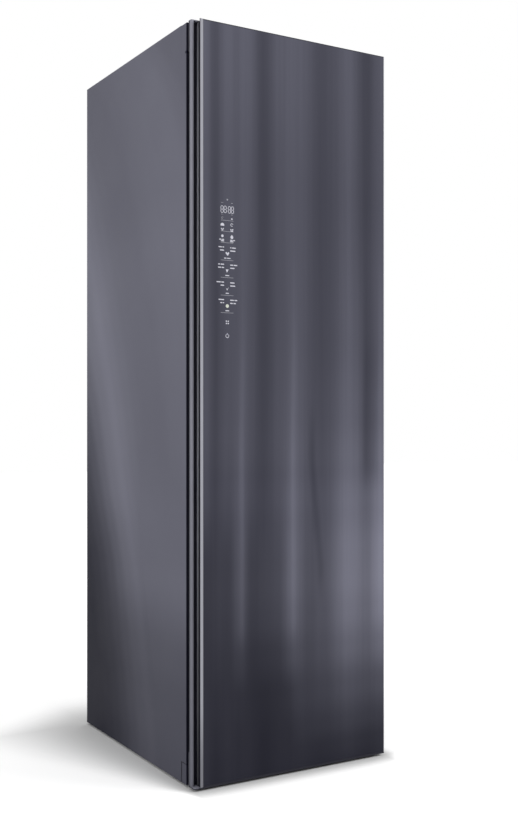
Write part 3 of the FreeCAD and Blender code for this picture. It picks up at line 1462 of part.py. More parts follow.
def heat_exchanger(name, middle_y):
    """A flat-tube coil: upright fins crossed by level tubes."""
    body = new_body(name, ("0", f"{middle_y} - coil_depth / 2", "duct_bottom + duct_wall + seam"))
    wide = "duct_half_width - duct_wall - 1"
    tall = "duct_height - 2 * duct_wall - 2"
    fin = sketch_on(body, "YZ_Plane", f"-({wide})")
    rectangle(fin, ("0", "coil_depth"), ("0", tall))
    fin_pad = pad(body, fin, "1.2")
    row(body, fin_pad, "X_Axis", f"2 * ({wide}) - 1.2", "fin_count")
    tube = sketch_on(body, "YZ_Plane", f"-({wide})")
    for share in (0.25, 0.75):
        rectangle(tube, ("8", "coil_depth - 8"), (f"({tall}) * {share} - 1.5", f"({tall}) * {share} + 1.5"))
    pad(body, tube, f"2 * ({wide})")
    return body


def scroll_outline(wall):
    """The volute's outline in X and Z: three arcs of growing radius and the neck."""
    first = size.scroll_radius - wall
    step = size.scroll_step
    second = first + step
    third = second + step
    neck = size.scroll_neck + (1 if wall else 0)
    tongue = wall
    corner = math.sqrt(0.5)

    def spot(x, z):
        return Vector(x, 0, z)

    start = spot(tongue, math.sqrt(first ** 2 - tongue ** 2))
    edges = [
        Part.Arc(start, spot(-first * corner, first * corner), spot(-first, 0)),
        Part.Arc(spot(-first, 0), spot(step - second * corner, -second * corner), spot(step, -second)),
        Part.Arc(spot(step, -second), spot(step + third * corner, step - third * corner),
                 spot(step + third, step)),
        Part.LineSegment(spot(step + third, step), spot(step + third, neck)),
        Part.LineSegment(spot(step + third, neck), spot(tongue, neck)),
        Part.LineSegment(spot(tongue, neck), start),
    ]
    return Part.Face(Part.Wire([edge.toShape() for edge in edges]))


def blower():
    """A forward-curved drum blower in a volute, its motor, and the diffuser to the deck."""
    front = size.duct_rear + size.seam
    width = size.scroll_width
    wall = size.duct_wall
    shell = scroll_outline(0).extrude(Vector(0, width, 0))
    hollow = scroll_outline(wall).extrude(Vector(0, width - 2 * wall, 0))
    hollow.translate(Vector(0, wall, 0))
    inlet = Part.makeCylinder(size.inlet_radius, 2 * wall, Vector(0, -wall / 2, 0), Vector(0, 1, 0))
    shaft_hole = Part.makeCylinder(9, 2 * wall, Vector(0, width - 1.5 * wall, 0), Vector(0, 1, 0))
    leg_height = size.fan_z - size.pan_top - size.scroll_radius * 0.8
    legs = [
        Part.makeBox(16, width, leg_height, Vector(x - 8, 0, size.pan_top - size.fan_z)) for x in (-45, 60)
    ]
    volute = shell.fuse(legs).cut([hollow, inlet, shaft_hole])
    housing = from_shape("BlowerVolute", volute, ("fan_x", "duct_rear + seam", "fan_z"))

    wheel = new_body("BlowerWheel", ("fan_x", f"{front} + duct_wall + 5", "fan_z"))
    disc = sketch_on(wheel, "XZ_Plane", "-impeller_width")
    circle(disc, "impeller_radius")
    pad(wheel, disc, "2")
    hub = sketch_on(wheel, "XZ_Plane", "-impeller_width")
    circle(hub, "14")
    pad(wheel, hub, "16")
    spindle = sketch_on(wheel, "XZ_Plane", "-impeller_width - 34")
    circle(spindle, "4")
    pad(wheel, spindle, "34")
    blade = sketch_on(wheel, "XZ_Plane", "-impeller_width + 1")
    outline(blade, [
        ("impeller_radius - 13", "0"),
        ("impeller_radius - 4", "1.5"),
        ("impeller_radius - 1", "6"),
        ("impeller_radius - 6", "3"),
    ])
    blade_pad = pad(wheel, blade, "impeller_width - 3")
    ring(wheel, blade_pad, "Y_Axis", "blade_count")
    rim = sketch_on(wheel, "XZ_Plane", "-4")
    circle(rim, "impeller_radius")
    circle(rim, "impeller_radius - 8")
    pad(wheel, rim, "4")
    node("blower_wheel", wheel)

    rear_y = "duct_rear + seam + scroll_width"
    can = cylinder("MotorCan", "40", "46", ("fan_x", f"{rear_y} + 6", "fan_z"), "Y")
    boss = cylinder("MotorBoss", "22", "6", ("fan_x", rear_y, "fan_z"), "Y")
    bore = cylinder("MotorShaftBore", "4 + running_fit", "40", ("fan_x", f"{rear_y} - 1", "fan_z"), "Y")
    node("blower_motor", cut("BlowerMotor", joined("BlowerMotorBlock", [can, boss]), [bore]))

    diffuser = new_body("Diffuser", ("0", "duct_rear + seam", "0"))
    left = "fan_x"
    right = "fan_x + 3 * scroll_step + scroll_radius"
    for inset, kind in (("0", "AdditiveLoft"), ("duct_wall", "SubtractiveLoft")):
        low = sketch_on(diffuser, "XY_Plane", "scroll_top + seam")
        rectangle(low, (f"{left} + {inset}", f"{right} - {inset}"), (inset, f"scroll_width - {inset}"))
        high = sketch_on(diffuser, "XY_Plane", "deck_bottom - seam")
        rectangle(high, (f"-outlet_half_width - 2 + {inset}", f"outlet_half_width + 2 - {inset}"),
                  (inset, f"scroll_width - {inset}"))
        loft = diffuser.newObject(f"PartDesign::{kind}", f"Diffuser{kind}")
        loft.Profile = low
        loft.Sections = [high]
        loft.Ruled = True
        doc.recompute()
    node("blower_housing", grouped("BlowerHousing", [housing, diffuser]))


def compressor():
    """A rotary compressor with its accumulator, on a foot plate over three rubber pads."""
    body = new_body("Compressor", ("compressor_x", "compressor_y", "pan_top + compressor_lift"))
    profile = sketch_on(body, "XZ_Plane")
    outline(profile, [
        ("0", "0"),
        ("compressor_radius", "0"),
        ("compressor_radius", "compressor_height"),
        ("compressor_radius - 16", "compressor_height + 22"),
        ("0", "compressor_height + 28"),
    ])
    turned = body.newObject("PartDesign::Revolution", "CompressorTurned")
    turned.Profile = profile
    turned.ReferenceAxis = (profile, ["V_Axis"])
    turned.Angle = 360
    doc.recompute()
    plate = sketch_on(body, "XY_Plane")
    outline(plate, [
        ("-64", "-62"), ("64", "-62"), ("74", "-40"),
        ("20", "72"), ("-20", "72"), ("-74", "-40"),
    ])
    pad(body, plate, "3", reverse=True)
    can = sketch_on(body, "XY_Plane", "45")
    circle(can, "accumulator_radius", "0", "-accumulator_offset")
    pad(body, can, "100")
    strap = sketch_on(body, "XY_Plane", "90")
    rectangle(strap, ("-10", "10"), ("-accumulator_offset + 8", "-50"))
    pad(body, strap, "14")
    pads = [
        box(f"RubberPad{index}", (f"compressor_x + {dx} - 9", f"compressor_x + {dx} + 9"),
            (f"compressor_y + {dy} - 9", f"compressor_y + {dy} + 9"),
            ("pan_top", "pan_top + compressor_lift - 3"))
        for index, (dx, dy) in enumerate(((-60, -46), (60, -46), (0, 60)))
    ]
    node("compressor", grouped("CompressorAndPads", [body] + pads))


def steam_system():
    """The steam generator, its nozzle in the deck, the two pumps and the water and steam hoses."""
    boiler = new_body("SteamGenerator", ("boiler_x", "boiler_y", "pan_top"))
    case = sketch_on(boiler, "XY_Plane")
    rectangle(case, ("-boiler_half_width", "boiler_half_width"),
              ("-boiler_half_length", "boiler_half_length"))
    pad(boiler, case, "boiler_height")
    fillet(boiler, "nozzle_radius", [
        (i * size.boiler_half_width, j * size.boiler_half_length, size.boiler_height / 2)
        for i in (-1, 1) for j in (-1, 1)
    ])
    rib = sketch_on(boiler, "XY_Plane", "30")
    rectangle(rib, ("-boiler_half_width - 3", "boiler_half_width + 3"),
              ("-boiler_half_length + 15", "boiler_half_length - 15"))
    rib_pad = pad(boiler, rib, "5")
    row(boiler, rib_pad, "Z_Axis", "boiler_height - 60", 3)
    spout = sketch_on(boiler, "XY_Plane", "boiler_height")
    circle(spout, "nozzle_radius", "nozzle_offset", "0")
    pad(boiler, spout, "20")
    node("steam_generator", boiler)

    nozzle = new_body("SteamNozzle", ("nozzle_x", "boiler_y", "cavity_floor"))
    profile = sketch_on(nozzle, "XZ_Plane")
    outline(profile, [
        ("0", "-deck_thick - 12"),
        ("nozzle_radius", "-deck_thick - 12"),
        ("nozzle_radius", "0"),
        ("nozzle_radius + 20", "0"),
        ("nozzle_radius + 20", "3"),
        ("nozzle_radius + 12", "12"),
        ("0", "12"),
    ])
    turned = nozzle.newObject("PartDesign::Revolution", "NozzleTurned")
    turned.Profile = profile
    turned.ReferenceAxis = (profile, ["V_Axis"])
    turned.Angle = 360
    doc.recompute()
    slot = sketch_on(nozzle, "XY_Plane", "4")
    rectangle(slot, ("nozzle_radius + 4", "nozzle_radius + 12"), ("-2.5", "2.5"))
    slot_cut = pocket(nozzle, slot, "14", reverse=True)
    ring(nozzle, slot_cut, "Z_Axis", 6)
    node("steam_nozzle", nozzle)

    pumps = []
    for name, x in (("SupplyPump", "-tank_offset_x"), ("DrainPump", "tank_offset_x")):
        pump = new_body(name, (x, "tank_centre_y", "pan_top"))
        foot_plate = sketch_on(pump, "XY_Plane")
        rectangle(foot_plate, ("-32", "32"), ("-32", "32"))
        pad(pump, foot_plate, "4")
        head = sketch_on(pump, "XY_Plane", "4")
        rectangle(head, ("-26", "26"), ("-26", "26"))
        pad(pump, head, "26")
        motor = sketch_on(pump, "XY_Plane", "30")
        circle(motor, "20")
        pad(pump, motor, "44")
        inlet = sketch_on(pump, "XZ_Plane", "0")
        circle(inlet, "6", "0", "17")
        pad(pump, inlet, "40", reverse=True)
        pumps.append(pump)
    node("water_pumps", grouped("WaterPumps", pumps))

    tank_x = size.tank_offset_x
    tank_y = size.tank_centre_y
    port = size.pan_top + 17
    spout_top = size.pan_top + size.boiler_height + 20
    boiler_front = size.boiler_y - size.boiler_half_length
    duct_side = size.duct_half_width + size.seam
    drain_z = size.duct_bottom + 20
    gap = size.seam
    routes = (
        ("SupplyHose", ((-tank_x, tank_y + 40 + gap, port), (-tank_x, tank_y + 80, port),
                        (-tank_x, tank_y + 80, port + 23), (-tank_x, boiler_front - gap, port + 23))),
        ("SteamHose", ((size.nozzle_x, size.boiler_y, spout_top + gap),
                       (size.nozzle_x, size.boiler_y, size.deck_bottom - 12 - gap))),
        ("DrainHose", ((tank_x, tank_y + 40 + gap, port), (tank_x, tank_y + 110, port),
                       (tank_x, tank_y + 110, drain_z), (duct_side, tank_y + 110, drain_z))),
    )
    hoses = [from_shape(name, bent_tube(points, size.hose_bend, size.hose_radius)) for name, points in routes]
    node("water_hoses", grouped("WaterHoses", hoses))


def refrigerant_pipes():
    """Copper pipes from the compressor to the condenser, the evaporator and back."""
    side = size.duct_half_width + size.seam
    x = size.compressor_x
    y = size.compressor_y
    base = size.pan_top + size.compressor_lift
    can_y = y - size.accumulator_offset
    evaporator_y = size.evaporator_y
    condenser_y = size.condenser_y
    dome = base + size.compressor_height + 28 + size.seam
    can_top = base + 145 + size.seam
    high = dome + 48
    low = can_top + 45
    bend = size.pipe_bend
    out = side + 2 * bend + 5
    bridge_z = low - 30
    routes = (
        ("Discharge", 4, ((x, y, dome), (x, y, high),
                          (x, condenser_y, high), (side, condenser_y, high))),
        ("Suction", 5, ((x, can_y, can_top), (x, can_y, low),
                        (x, evaporator_y, low), (side, evaporator_y, low))),
        ("Bridge", 3, ((side, condenser_y, bridge_z), (out, condenser_y, bridge_z),
                       (out, evaporator_y, bridge_z), (side, evaporator_y, bridge_z))),
    )
    pipes = [from_shape(name, bent_tube(points, bend, radius)) for name, radius, points in routes]
    node("refrigerant_pipes", grouped("RefrigerantPipes", pipes))


def electrics():
    """The control box at the rear left and the cord's gland in the service cover."""
    spot = ("control_side_gap - cavity_half", "rear - control_inset", "pan_top + control_lift")
    case = new_body("ControlBox", spot)
    width = "control_half_width"
    length = "control_half_length"
    base = sketch_on(case, "XY_Plane")
    rectangle(base, (f"-{width}", width), (f"-{length}", length))
    pad(case, base, "60")
    lid = sketch_on(case, "XY_Plane", "60")
    rectangle(lid, (f"-{width} - 2", f"{width} + 2"), (f"-{length} - 2", f"{length} + 2"))
    pad(case, lid, "8")
    fillet(case, "6", [
        (i * (size.control_half_width + 2), j * (size.control_half_length + 2), 64)
        for i in (-1, 1) for j in (-1, 1)
    ])
    vent = sketch_on(case, "XY_Plane", "68")
    rectangle(vent, (f"-{width} + 12", f"-{width} + 16"), ("-40", "40"))
    vent_cut = pocket(case, vent, "5")
    row(case, vent_cut, "X_Axis", f"2 * {width} - 28", 7)
    leg = sketch_on(case, "XY_Plane")
    for leg_x in (f"-{width} + 12", f"{width} - 12"):
        for leg_y in (f"-{length} + 14", f"{length} - 14"):
            rectangle(leg, (f"{leg_x} - 6", f"{leg_x} + 6"), (f"{leg_y} - 6", f"{leg_y} + 6"))
    pad(case, leg, "control_lift", reverse=True)
    node("control_box", case)

    gland = new_body("CordGland", ("-cavity_half + 30", "rear", "pan_bottom + 90"))
    flange = sketch_on(gland, "XZ_Plane", "steel_gauge + seam")
    circle(flange, "gland_bore + 8")
    circle(flange, "gland_bore")
    pad(gland, flange, "3")
    neck = sketch_on(gland, "XZ_Plane")
    circle(neck, "gland_bore + 5 - running_fit")
    circle(neck, "gland_bore")
    pad(gland, neck, "steel_gauge + seam")
    node("cord_gland", gland)


def check():
    """Stops if any object failed or any sub-part's solid is missing or faulty."""
    for thing in doc.Objects:
        if any(state in ("Invalid", "Error") for state in thing.State):
            raise RuntimeError(f"{thing.Name} ({thing.Label}) is {thing.State}")
    for thing in nodes:
        if thing.Shape.isNull() or not thing.Shape.isValid() or not thing.Shape.Solids:
            raise RuntimeError(f"{thing.Label} has no valid solid")


def main():
    side_panels()
    corner_covers()
    top_cover()
    rear_panels()
    front_frame()
    service_panel()
    liners()
    insulation()
    decks()
    outlet_grille()
    base_pan()
    feet()
    door_stiles()
    door_trims()
    door_caps()
    door_faces()
    door_filling()
    gasket()
    hinges()
    shaker_frame()
    shaker_drive()
    shaker_carriage()
    ceiling_light()
    shelf()
    for label, x in (("supply_tank", "-tank_offset_x"), ("drain_tank", "tank_offset_x")):
        tank(label, x)
        tank_fittings(label, x)
    lint_filter()
    aroma_cassette()
    tank_support()
    air_duct()
    coils = [heat_exchanger("Evaporator", "evaporator_y"), heat_exchanger("Condenser", "condenser_y")]
    node("heat_exchangers", grouped("HeatExchangers", coils))
    blower()
    compressor()
    steam_system()
    refrigerant_pipes()
    electrics()
    doc.recompute()
    check()
    os.makedirs("parts", exist_ok=True)
    for thing in nodes:
        thing.Shape.exportStep(f"parts/{thing.Label}.step")
    print(len(nodes), "sub-parts")


main()
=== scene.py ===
import json
import math

import bmesh
import bpy
from mathutils import Matrix, Vector


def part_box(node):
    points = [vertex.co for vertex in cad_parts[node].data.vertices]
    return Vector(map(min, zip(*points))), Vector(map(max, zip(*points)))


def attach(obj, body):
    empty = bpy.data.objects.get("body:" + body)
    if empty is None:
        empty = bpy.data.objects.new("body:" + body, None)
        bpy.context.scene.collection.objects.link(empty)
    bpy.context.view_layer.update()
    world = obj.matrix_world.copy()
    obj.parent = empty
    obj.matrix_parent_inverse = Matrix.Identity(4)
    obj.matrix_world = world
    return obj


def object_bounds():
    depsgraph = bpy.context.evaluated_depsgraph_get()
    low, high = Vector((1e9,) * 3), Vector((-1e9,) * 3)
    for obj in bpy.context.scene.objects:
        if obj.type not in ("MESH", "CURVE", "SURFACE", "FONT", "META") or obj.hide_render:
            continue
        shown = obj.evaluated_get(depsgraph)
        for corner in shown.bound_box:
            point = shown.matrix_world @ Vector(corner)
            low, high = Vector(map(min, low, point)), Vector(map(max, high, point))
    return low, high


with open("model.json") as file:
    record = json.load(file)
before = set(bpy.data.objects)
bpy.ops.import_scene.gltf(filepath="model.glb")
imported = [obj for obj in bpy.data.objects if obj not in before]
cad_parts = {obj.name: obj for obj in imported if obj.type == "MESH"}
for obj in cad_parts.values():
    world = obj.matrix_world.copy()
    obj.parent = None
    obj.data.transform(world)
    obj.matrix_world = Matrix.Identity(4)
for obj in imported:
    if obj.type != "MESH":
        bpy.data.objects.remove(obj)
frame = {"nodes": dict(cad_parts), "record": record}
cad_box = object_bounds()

# Looks for the clothes care steam cabinet. Metres, in the CAD frame: +X to the right, -Y to the
# front, +Z up, the floor at z = 0.

scene = bpy.context.scene
nodes = frame["nodes"]
MM = 0.001


# ---------------------------------------------------------------- places on the CAD model

CABINET_LEFT = cad_box[0][0]
CABINET_RIGHT, CABINET_REAR, CABINET_TOP = cad_box[1]
glass_low, glass_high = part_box("door_glass")
DOOR_FACE = glass_low.y
cover_low, cover_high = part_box("corner_covers")
BODY_FRONT = cover_low.y
COVER_REAR = cover_high.y
UPPER_COVER_FOOT = cover_high.z - 70 * MM
LOWER_COVER_TOP = 57 * MM
LEFT_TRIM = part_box("door_trims")[0].x
LEAF_FOOT_FRONT = BODY_FRONT - 23 * MM
# the door's grey edge: its outer lip, and how far back the stile and the caps reach
LIP_INSIDE = CABINET_LEFT + 6.5 * MM
LIP_FRONT, LIP_REAR = BODY_FRONT - 26 * MM, BODY_FRONT - 16 * MM
STILE_REAR = BODY_FRONT - 16.8 * MM
CAP_REAR = BODY_FRONT - 12 * MM
LOWER_CAP_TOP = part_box("door_stiles")[0].z
SILL_TOP = 9 * MM
UPPER_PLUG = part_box("door_top_cap")[1].z - 3.1 * MM
REAR_SEAM = (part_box("back_panel")[0].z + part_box("rear_service_cover")[1].z) / 2


# ---------------------------------------------------------------- tones

# Tints are a colour for each unit of tone. A ramp is a list of (position, tone).
UNDERTONE = (0.004, 0.004, 0.013)
DOOR_TINT = (1.0, 1.005, 1.25)
SIDE_TINT = (1.0, 1.005, 1.22)
LIP_TINT = (1.0, 1.005, 1.16)
TRIM_TINT = (1.0, 1.005, 1.10)
SCREEN_TINT = (1.0, 1.01, 1.06)

# The silk behind the door's glass, with painted light and reflections on it. Its folds go from the
# left edge to the right, as (share of the width, tone), and the painted light on them from the
# bottom to the top, as (share of the height, strength).
LIT_FOLDS = [
    (0.00, 0.120), (0.06, 0.068), (0.12, 0.108), (0.175, 0.096), (0.22, 0.104), (0.315, 0.054),
    (0.40, 0.092), (0.47, 0.091), (0.52, 0.088), (0.63, 0.052), (0.70, 0.060), (0.79, 0.082),
    (0.90, 0.036), (0.985, 0.064),
]
FOLD_LIGHT = [
    (0.00, 0.16), (0.13, 0.12), (0.28, 0.26), (0.40, 0.58), (0.47, 0.67), (0.62, 0.68),
    (0.78, 0.78), (1.00, 1.00),
]
# the broad painted sheen, strongest low on the right
SHEEN = [
    (0.00, 0.000), (0.07, 0.020), (0.12, 0.010), (0.19, 0.050), (0.245, 0.016), (0.33, 0.035),
    (0.39, 0.036), (0.475, 0.108), (0.56, 0.057), (0.64, 0.070), (0.79, 0.168), (0.90, 0.134),
    (0.99, 0.225),
]
SHEEN_LIGHT = [
    (0.00, 0.00), (0.05, 0.00), (0.11, 0.10), (0.165, 0.42), (0.215, 0.78), (0.26, 0.92),
    (0.30, 0.90), (0.36, 0.70), (0.42, 0.50), (0.49, 0.35), (0.60, 0.24), (0.80, 0.10),
    (1.00, 0.05),
]
# the smooth painted lightening towards the right near the bottom
FOOT = [
    (0.00, 0.007), (0.10, 0.006), (0.20, 0.0), (0.44, 0.0), (0.52, 0.018), (0.65, 0.028),
    (0.78, 0.040), (1.00, 0.036),
]
FOOT_LIGHT = [
    (0.00, 0.10), (0.03, 0.22), (0.06, 0.6), (0.11, 1.0), (0.165, 0.85), (0.22, 0.2), (0.27, 0.0),
]
# two narrow painted highlights along crests
CREST_HIGHLIGHTS = [
    (0.15, 0.000), (0.172, 0.005), (0.197, 0.027), (0.222, 0.003), (0.242, 0.000), (0.43, 0.000),
    (0.452, 0.005), (0.474, 0.030), (0.50, 0.003), (0.515, 0.000),
]
CREST_LIGHT = [
    (0.16, 0.0), (0.22, 0.6), (0.32, 0.85), (0.43, 1.0), (0.54, 0.7), (0.65, 0.25), (0.74, 0.0),
]
# painted shade: how much darker a dip near the right edge is, and a crease that slants between
# two heights
DIP_SHADE = [(0.84, 0.00), (0.86, 0.05), (0.895, 0.31), (0.94, 0.22), (0.985, 0.00)]
DIP_SHADE_DEPTH = [(0.37, 0.0), (0.43, 1.0), (0.54, 1.0), (0.62, 0.4), (0.72, 0.0)]
CREASE_SHADE = [(0.545, 0.0), (0.578, 0.24), (0.61, 0.0)]
CREASE_SHADE_DEPTH = [(0.22, 0.0), (0.28, 1.0), (0.43, 1.0), (0.52, 0.0)]
CREASE_SLANT = -0.048
CREASE_LOW, CREASE_HIGH = 0.28, 0.43
SWAY = 0.006

# The painted ridge of light on the sides: where it lies between RIDGE_FRONT and RIDGE_REAR and how
# light it is, as (share of the height, value), and the painted tone across it, from the front to the rear.
RIDGE_FRONT, RIDGE_REAR = -0.15, 0.65
RIDGE_AHEAD, RIDGE_BEHIND = 0.9, 0.4
RIDGE_PLACE = [
    (0.03, 0.06), (0.11, 0.10), (0.27, 0.19), (0.38, 0.29), (0.49, 0.37), (0.60, 0.47),
    (0.70, 0.56), (0.81, 0.66), (0.92, 0.81), (1.00, 0.98),
]
RIDGE_LIGHT = [
    (0.02, 0.072), (0.06, 0.074), (0.11, 0.072), (0.16, 0.080), (0.27, 0.133), (0.38, 0.158),
    (0.49, 0.161), (0.60, 0.168), (0.70, 0.170), (0.81, 0.152), (0.92, 0.142), (1.00, 0.135),
]
RIDGE_SHAPE = [
    (0.19, 0.72), (0.23, 0.80), (0.27, 0.86), (0.35, 0.82), (0.39, 0.79), (0.44, 0.75),
    (0.485, 0.70), (0.54, 0.68), (0.585, 0.73), (0.62, 0.81), (0.66, 0.92), (0.69, 1.00),
    (0.74, 0.88), (0.785, 0.66), (0.83, 0.43), (0.88, 0.26), (0.92, 0.16), (0.97, 0.09),
]
# the even painted light ahead of the ridge, and the ridge's width low down and high up
RIDGE_FORE = [(0.02, 0.90), (0.11, 0.92), (0.18, 0.97), (0.27, 0.93), (0.38, 0.76), (0.45, 0.70)]
FORE_BLEND = 0.06
NARROW, WIDE = 1.1, 0.82
NARROW_HEIGHT, WIDE_HEIGHT = 0.27, 0.6

# painted shade on the sides' front flange, which lies in the door's shade, and painted shade in the
# seams round the corner covers and between the panels
FLANGE_SHADE = 0.10
COVER_SEAM_SHADE = 0.05
COVER_SEAM_WIDTH = 4 * MM
COVER_SEAM_FRONT = BODY_FRONT + 7 * MM
UPPER_SEAM_HALF = 3 * MM
PANEL_SEAM_SHADE = 0.12
PANEL_SEAM_HALF = 0.9 * MM

# The door's grey edge, with painted light and shade: the tone from the bottom to the top, the painted
# light over the lip from its rounded front to the rear, the painted shade inside the channel and on
# the sill, and the painted light at the channel's two closed ends.
LIP_TONE = [(0.0, 0.10), (0.08, 0.12), (0.5, 0.165), (1.0, 0.18)]
LIP_LIGHT = [(0.0, 1.9), (0.12, 1.8), (0.25, 1.3), (0.5, 1.12), (0.75, 0.85), (1.0, 0.55)]
CHANNEL_SHADE = 0.12
SILL_SHADE = 0.93
END_LIGHT = 0.22

# The door's edge strip: its tone from the bottom to the top, the painted shade of its inner rounding,
# the painted shade that makes the leaf behind it near black, and the painted light on the leaf's foot.
STRIP_TONE = [(0.0, 0.26), (0.04, 0.27), (0.11, 0.44), (0.5, 0.51), (1.0, 0.49)]
STRIP_ROUNDING_SHADE = 0.35
LEAF_SHADE = 0.05
LEAF_FOOT_HIGHLIGHT = 2.0
LEAF_FOOT_LIGHT = [(0.0, 0.5), (0.15, 0.55), (0.3, 0.85), (0.5, 1.0), (0.85, 1.0), (1.0, 0.7)]

# the lint filter's woven screen inside its frame
THREAD_PITCH = 1.6 * MM
FRAME_TONE = 0.20
FRAME_SIDE, FRAME_FOOT, FRAME_RIM = 8 * MM, 7 * MM, 12 * MM

# scales of the noise patterns
FLAKE_SCALE = 1500
PEEL_SCALE = 260
GRAIN_SCALE = 2200
BRUSH_SCALE = 2600
BRUSH_STRETCH = 0.02
CLOUD_STRETCH = (1, 1.4, 0.6)


# ---------------------------------------------------------------- material helpers

def add_node(tree, kind, inputs, **settings):
    """A new node with its settings, and its inputs either set or linked."""
    made = tree.nodes.new(kind)
    for key, value in settings.items():
        setattr(made, key, value)
    for key, value in inputs.items():
        if isinstance(value, bpy.types.NodeSocket):
            tree.links.new(value, made.inputs[key])
        else:
            made.inputs[key].default_value = value
    return made


def scaled(colour, factor):
    return tuple(min(1, channel * factor) for channel in colour)


class Finish:
    """A material being built: its Principled shader, and short ways to add nodes."""

    def __init__(self, name, sockets):
        self.material = bpy.data.materials.new(name)
        self.material.use_nodes = True
        self.tree = self.material.node_tree
        self.shader = self.tree.nodes["Principled BSDF"]
        for socket, value in sockets.items():
            self.shader.inputs[socket].default_value = value

    def add(self, kind, inputs, **settings):
        return add_node(self.tree, kind, inputs, **settings)

    def link(self, output, socket):
        self.tree.links.new(output, self.shader.inputs[socket])

    def place(self, stretch=(1, 1, 1)):
        """Object coordinates in metres, scaled along each axis."""
        coordinates = self.add("ShaderNodeTexCoord", {}).outputs["Object"]
        mapping = self.add("ShaderNodeMapping", {"Vector": coordinates, "Scale": stretch})
        return mapping.outputs["Vector"]

    def split(self):
        """The object coordinates as three separate outputs."""
        separate = self.add("ShaderNodeSeparateXYZ", {"Vector": self.place()})
        return [separate.outputs[axis] for axis in "XYZ"]

    def noise(self, scale, detail=2, stretch=(1, 1, 1)):
        texture = self.add("ShaderNodeTexNoise", {
            "Vector": self.place(stretch), "Scale": scale, "Detail": detail,
        })
        return texture.outputs["Fac"]

    def maths(self, operation, *values):
        made = self.add("ShaderNodeMath", dict(enumerate(values)), operation=operation)
        return made.outputs[0]

    def sum(self, first, second):
        return self.maths("ADD", first, second)

    def product(self, first, second):
        return self.maths("MULTIPLY", first, second)

    def larger(self, first, second):
        return self.maths("MAXIMUM", first, second)

    def smaller(self, first, second):
        return self.maths("MINIMUM", first, second)

    def near(self, value, target, reach):
        """1 within reach of the target, and 0 elsewhere."""
        return self.maths("COMPARE", value, target, reach)

    def spread(self, value, low, high, start=0.3, end=0.7):
        """Carries a value between start and end over to low and high."""
        ranged = self.add("ShaderNodeMapRange", {
            "Value": value, "From Min": start, "From Max": end, "To Min": low, "To Max": high,
        })
        return ranged.outputs["Result"]

    def rise(self, value, start, end):
        """0 up to the start and 1 from the end on."""
        return self.spread(value, 0, 1, start, end)

    def fall(self, value, start, end):
        """1 up to the start and 0 from the end on."""
        return self.spread(value, 1, 0, start, end)

    def step(self, value, edge, width=0.2 * MM):
        """0 below the edge and 1 above it."""
        return self.rise(value, edge - width, edge + width)

    def ramp(self, value, stops, interpolation="LINEAR"):
        """A colour ramp with (position, colour) stops; a plain number gives a grey."""
        made = self.add("ShaderNodeValToRGB", {"Fac": value})
        made.color_ramp.interpolation = interpolation
        elements = made.color_ramp.elements
        while len(elements) < len(stops):
            elements.new(0.5)
        for element, (position, colour) in zip(elements, stops):
            element.position = position
            element.color = (*colour, 1) if isinstance(colour, tuple) else (*[colour] * 3, 1)
        return made.outputs["Color"]

    def pattern(self, across, tones, height, strengths):
        """Soft tones across the surface, with a strength that changes with the height."""
        return self.product(self.ramp(across, tones, "EASE"), self.ramp(height, strengths, "EASE"))

    def tinted(self, tone, tint):
        """Gives the base colour one tint, as strong as the tone, over a faint blue undertone."""
        colour = self.add("ShaderNodeVectorMath", {0: tint, 1: tone, 2: UNDERTONE},
                          operation="MULTIPLY_ADD")
        self.link(colour.outputs["Vector"], "Base Color")

    def mottle(self, colour, amount, scale, detail=3):
        """Gives the base colour a soft unevenness."""
        stops = [(0.3, scaled(colour, 1 - amount)), (0.7, scaled(colour, 1 + amount))]
        self.link(self.ramp(self.noise(scale, detail), stops), "Base Color")

    def flakes(self, colour):
        """Metallic flakes over a broad, soft unevenness, as a colour."""
        both = self.sum(self.spread(self.noise(FLAKE_SCALE), -0.12, 0.12),
                        self.spread(self.noise(1.3, 2, CLOUD_STRETCH), 0.25, 0.75))
        return self.ramp(both, [(0, scaled(colour, 0.82)), (1, scaled(colour, 1.2))])

    def uneven_gloss(self, low, high, scale, detail=3):
        self.link(self.spread(self.noise(scale, detail), low, high), "Roughness")

    def bump(self, height, distance, strength=1.0):
        """Raises the surface by a height pattern and slightly rounds its sharp edges."""
        rounded = self.add("ShaderNodeBevel", {"Radius": 0.6 * MM}, samples=4)
        made = self.add("ShaderNodeBump", {
            "Height": height, "Distance": distance, "Strength": strength,
            "Normal": rounded.outputs["Normal"],
        })
        self.link(made.outputs["Normal"], "Normal")

    def orange_peel(self):
        self.bump(self.noise(PEEL_SCALE, 1), 0.05 * MM, 0.5)


# ---------------------------------------------------------------- plain materials

def moulded(name, colour, roughness, grain=0.04 * MM, unevenness=0.05):
    """Moulded plastic with a fine eroded grain."""
    finish = Finish(name, {"Specular IOR Level": 0.45})
    finish.mottle(colour, unevenness, 9)
    finish.uneven_gloss(roughness - 0.05, roughness + 0.07, 35)
    finish.bump(finish.noise(GRAIN_SCALE, 3), grain)
    return finish


def painted(name, colour, roughness, metallic, coat, seam=None):
    """Sprayed metallic paint: flakes, a faint orange peel and a clear coat. The seam is the height of
    the joint between two panels, where a thin line of shade is painted."""
    finish = Finish(name, {"Metallic": metallic, "Coat Weight": coat, "Coat Roughness": 0.18})
    paint = finish.flakes(colour)
    if seam is not None:
        # painted shade along the joint between the panels
        gap = finish.near(finish.split()[2], seam, PANEL_SEAM_HALF)
        shade = finish.spread(gap, 1, PANEL_SEAM_SHADE, 0, 1)
        shaded = finish.add("ShaderNodeVectorMath", {0: paint, 3: shade}, operation="SCALE")
        paint = shaded.outputs["Vector"]
    finish.link(paint, "Base Color")
    finish.uneven_gloss(roughness - 0.04, roughness + 0.06, 6)
    finish.orange_peel()
    return finish


